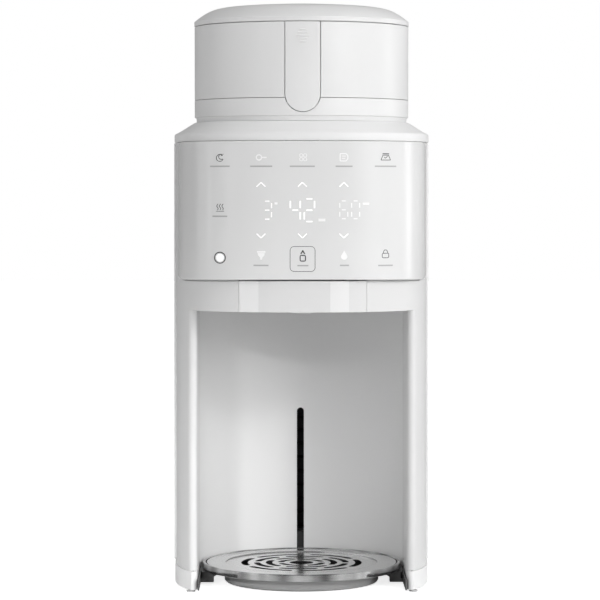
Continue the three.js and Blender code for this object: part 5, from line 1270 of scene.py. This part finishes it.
# %% Wheel and stirrer
POCKETS, SPOKE, OUTER, INNER, SHAFT_HOLE = 8, 1.2, 34, 18, 4.3
middle = pi / POCKETS
outer_half, inner_half = middle - SPOKE / OUTER, middle - SPOKE / INNER
pocket = upright(arc(0, AXIS, OUTER, middle - outer_half, middle + outer_half, 16)
                 + arc(0, AXIS, INNER, middle + inner_half, middle - inner_half, 10), 318, 336)
pockets = grown(round_axis, pocket, working_grey, Count=POCKETS, Centre=(0, AXIS, 0), Start=0.0)
put("wheel", cut(on_axis(38, 321.8, 333.4), pockets, rod(0, AXIS, SHAFT_HOLE, 318, 336)),
    working_grey, "metering_wheel", edge=0.4)
HUB, TIP, SWEEP, HALF_THICK, BLADE_LOW, BLADE_HIGH = 8.7, 52, 18, 2, 336.2, 340.2
bend = [(HUB + (TIP - HUB) * k / 16, SWEEP * (k / 16) ** 2) for k in range(17)]
blade = upright([(x, AXIS + y - HALF_THICK) for x, y in bend]
                + [(x, AXIS + y + HALF_THICK) for x, y in reversed(bend)], BLADE_LOW, BLADE_HIGH)
blades = grown(round_axis, blade, working_grey, Count=3, Centre=(0, AXIS, 0), Start=0.0)
hub = cut(rod(0, AXIS, 9, BLADE_LOW, 345.2), rod(0, AXIS, SHAFT_HOLE, 330, 350))
put("stirrer_fine", join(hub, blades), working_grey, "stirrer", edge=0.5)
for name, material, edge in (
        ("metering_shaft", bar_steel, 0.25), ("drive_gear", working_grey, 0.12),
        ("motor_pinion", working_grey, 0.12), ("drive_motor", bar_steel, 0.5),
        ("powder_chute", working_grey, 0.3), ("water_nozzle", working_grey, 0.3),
        ("lid_hinge_pin", bar_steel, 0.2), ("latch_pin", bar_steel, 0.2)):
    refined(name, material, edge)

# %% [markdown]
# The latch's spring lies along its pin. A spring under a moving part has to shorten when the part
# moves: the one on the tank's valve is attached to its body and gets a mesh of its own.

# %% Springs
thin_coil = grown(coil, bpy.data.meshes.new("none"), bar_steel, Turns=3.0, Coil=1.9, Height=4.1,
                  Wire=0.38, Foot=(-2.05, PIVOT_Y, PIVOT_Z), Lean=(0, pi / 2, 0))
put("latch_coil", thin_coil, bar_steel, "latch_spring", limit=50)
valve_coil = grown(coil, bpy.data.meshes.new("none"), bar_steel, Turns=4.0, Coil=4.0, Height=17.1,
                   Wire=0.6, Foot=(DOCK_X, DOCK_Y, 20.2), Lean=(0, 0, 0))
spring = put("valve_coil", valve_coil, bar_steel, "valve_spring", limit=50)
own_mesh(spring)

# %% [markdown]
# ## Water side
# The tank is a clear, rounded box whose back closes the machine. Its walls are one even loft, so
# light bends through it without kinks. The lid turns on a roll at the back edge.

# %% Tank
TANK_TOP, ROLL_Y, ROLL_Z, ROLL, EAR = 296, 121, 299.1, 2.8, 51.3


def tank_plan(inset):
    half, front, back, steps = 87 - inset, 72.3 + inset, REAR - inset, 14
    small, large = max(4 - inset, 0.3), 26 - inset
    line = []
    for side, y, radius, turn in ((1, front + small, small, -0.5), (1, back - large, large, 0),
                                  (-1, back - large, large, 0.5), (-1, front + small, small, 1)):
        line += arc(side * (half - radius), y, radius, turn * pi, (turn + 0.5) * pi, steps)
    return line


tank = cut(upright(tank_plan(0), 14.6, TANK_TOP), upright(tank_plan(2.4), 17, 300))
deck = common(upright(tank_plan(1.2), 293.6, TANK_TOP), block(-HALF, HALF, 117, 127, 290, 300))
ears = [cut(join(block(left, right, ROLL_Y - ROLL, ROLL_Y + ROLL, TANK_TOP - GAP, ROLL_Z),
                 cross_rod(left, right, ROLL_Y, ROLL_Z, ROLL)),
            cross_rod(left - OVER, right + OVER, ROLL_Y, ROLL_Z, 1.8)) for left, right in pair(46.3, EAR)]
tank = cut(tapered(join(tank, deck)), rod(DOCK_X, DOCK_Y, 5, 10, 20))
put("tank", join(tank, *ears), tank_plastic, "water_tank", edge=0.4)
cover = cut(upright(tank_plan(0.3), 296.3, 298.7), block(-90, 90, ROLL_Y, 130, 294, 300),
            *[block(left, right, 117.6, 130, 294, 300) for left, right in pair(46, 90)])
roll = [cross_rod(-46, 46, ROLL_Y, ROLL_Z, ROLL), cross_rod(-51, 51, ROLL_Y, ROLL_Z, 1.5)]
put("tank_cover", join(cover, *roll), satin_white, "tank_lid", edge=0.5)
for name, material, edge in (("tank_valve", working_grey, 0.3), ("valve_cage", working_grey, 0.3),
                             ("dock_seat", soft_rubber, 0.5), ("water_pump", dark_moulding, 0.6),
                             ("heater", bar_steel, 0.6)):
    refined(name, material, edge)
for name in ("pump_inlet_hose", "pump_outlet_hose", "heater_hose"):
    refined(name, hose_skin, 0, smooth=1, limit=80)

# %% [markdown]
# Small parts under the floor come last: screws and feet.

# %% Screws and feet
for k in range(1, 5):
    refined("base_screw_" + str(k), bar_steel, 0.2)
for spot in ("front_right", "rear_right", "front_left", "rear_left"):
    refined("foot_" + spot, pale_rubber, 0.3)
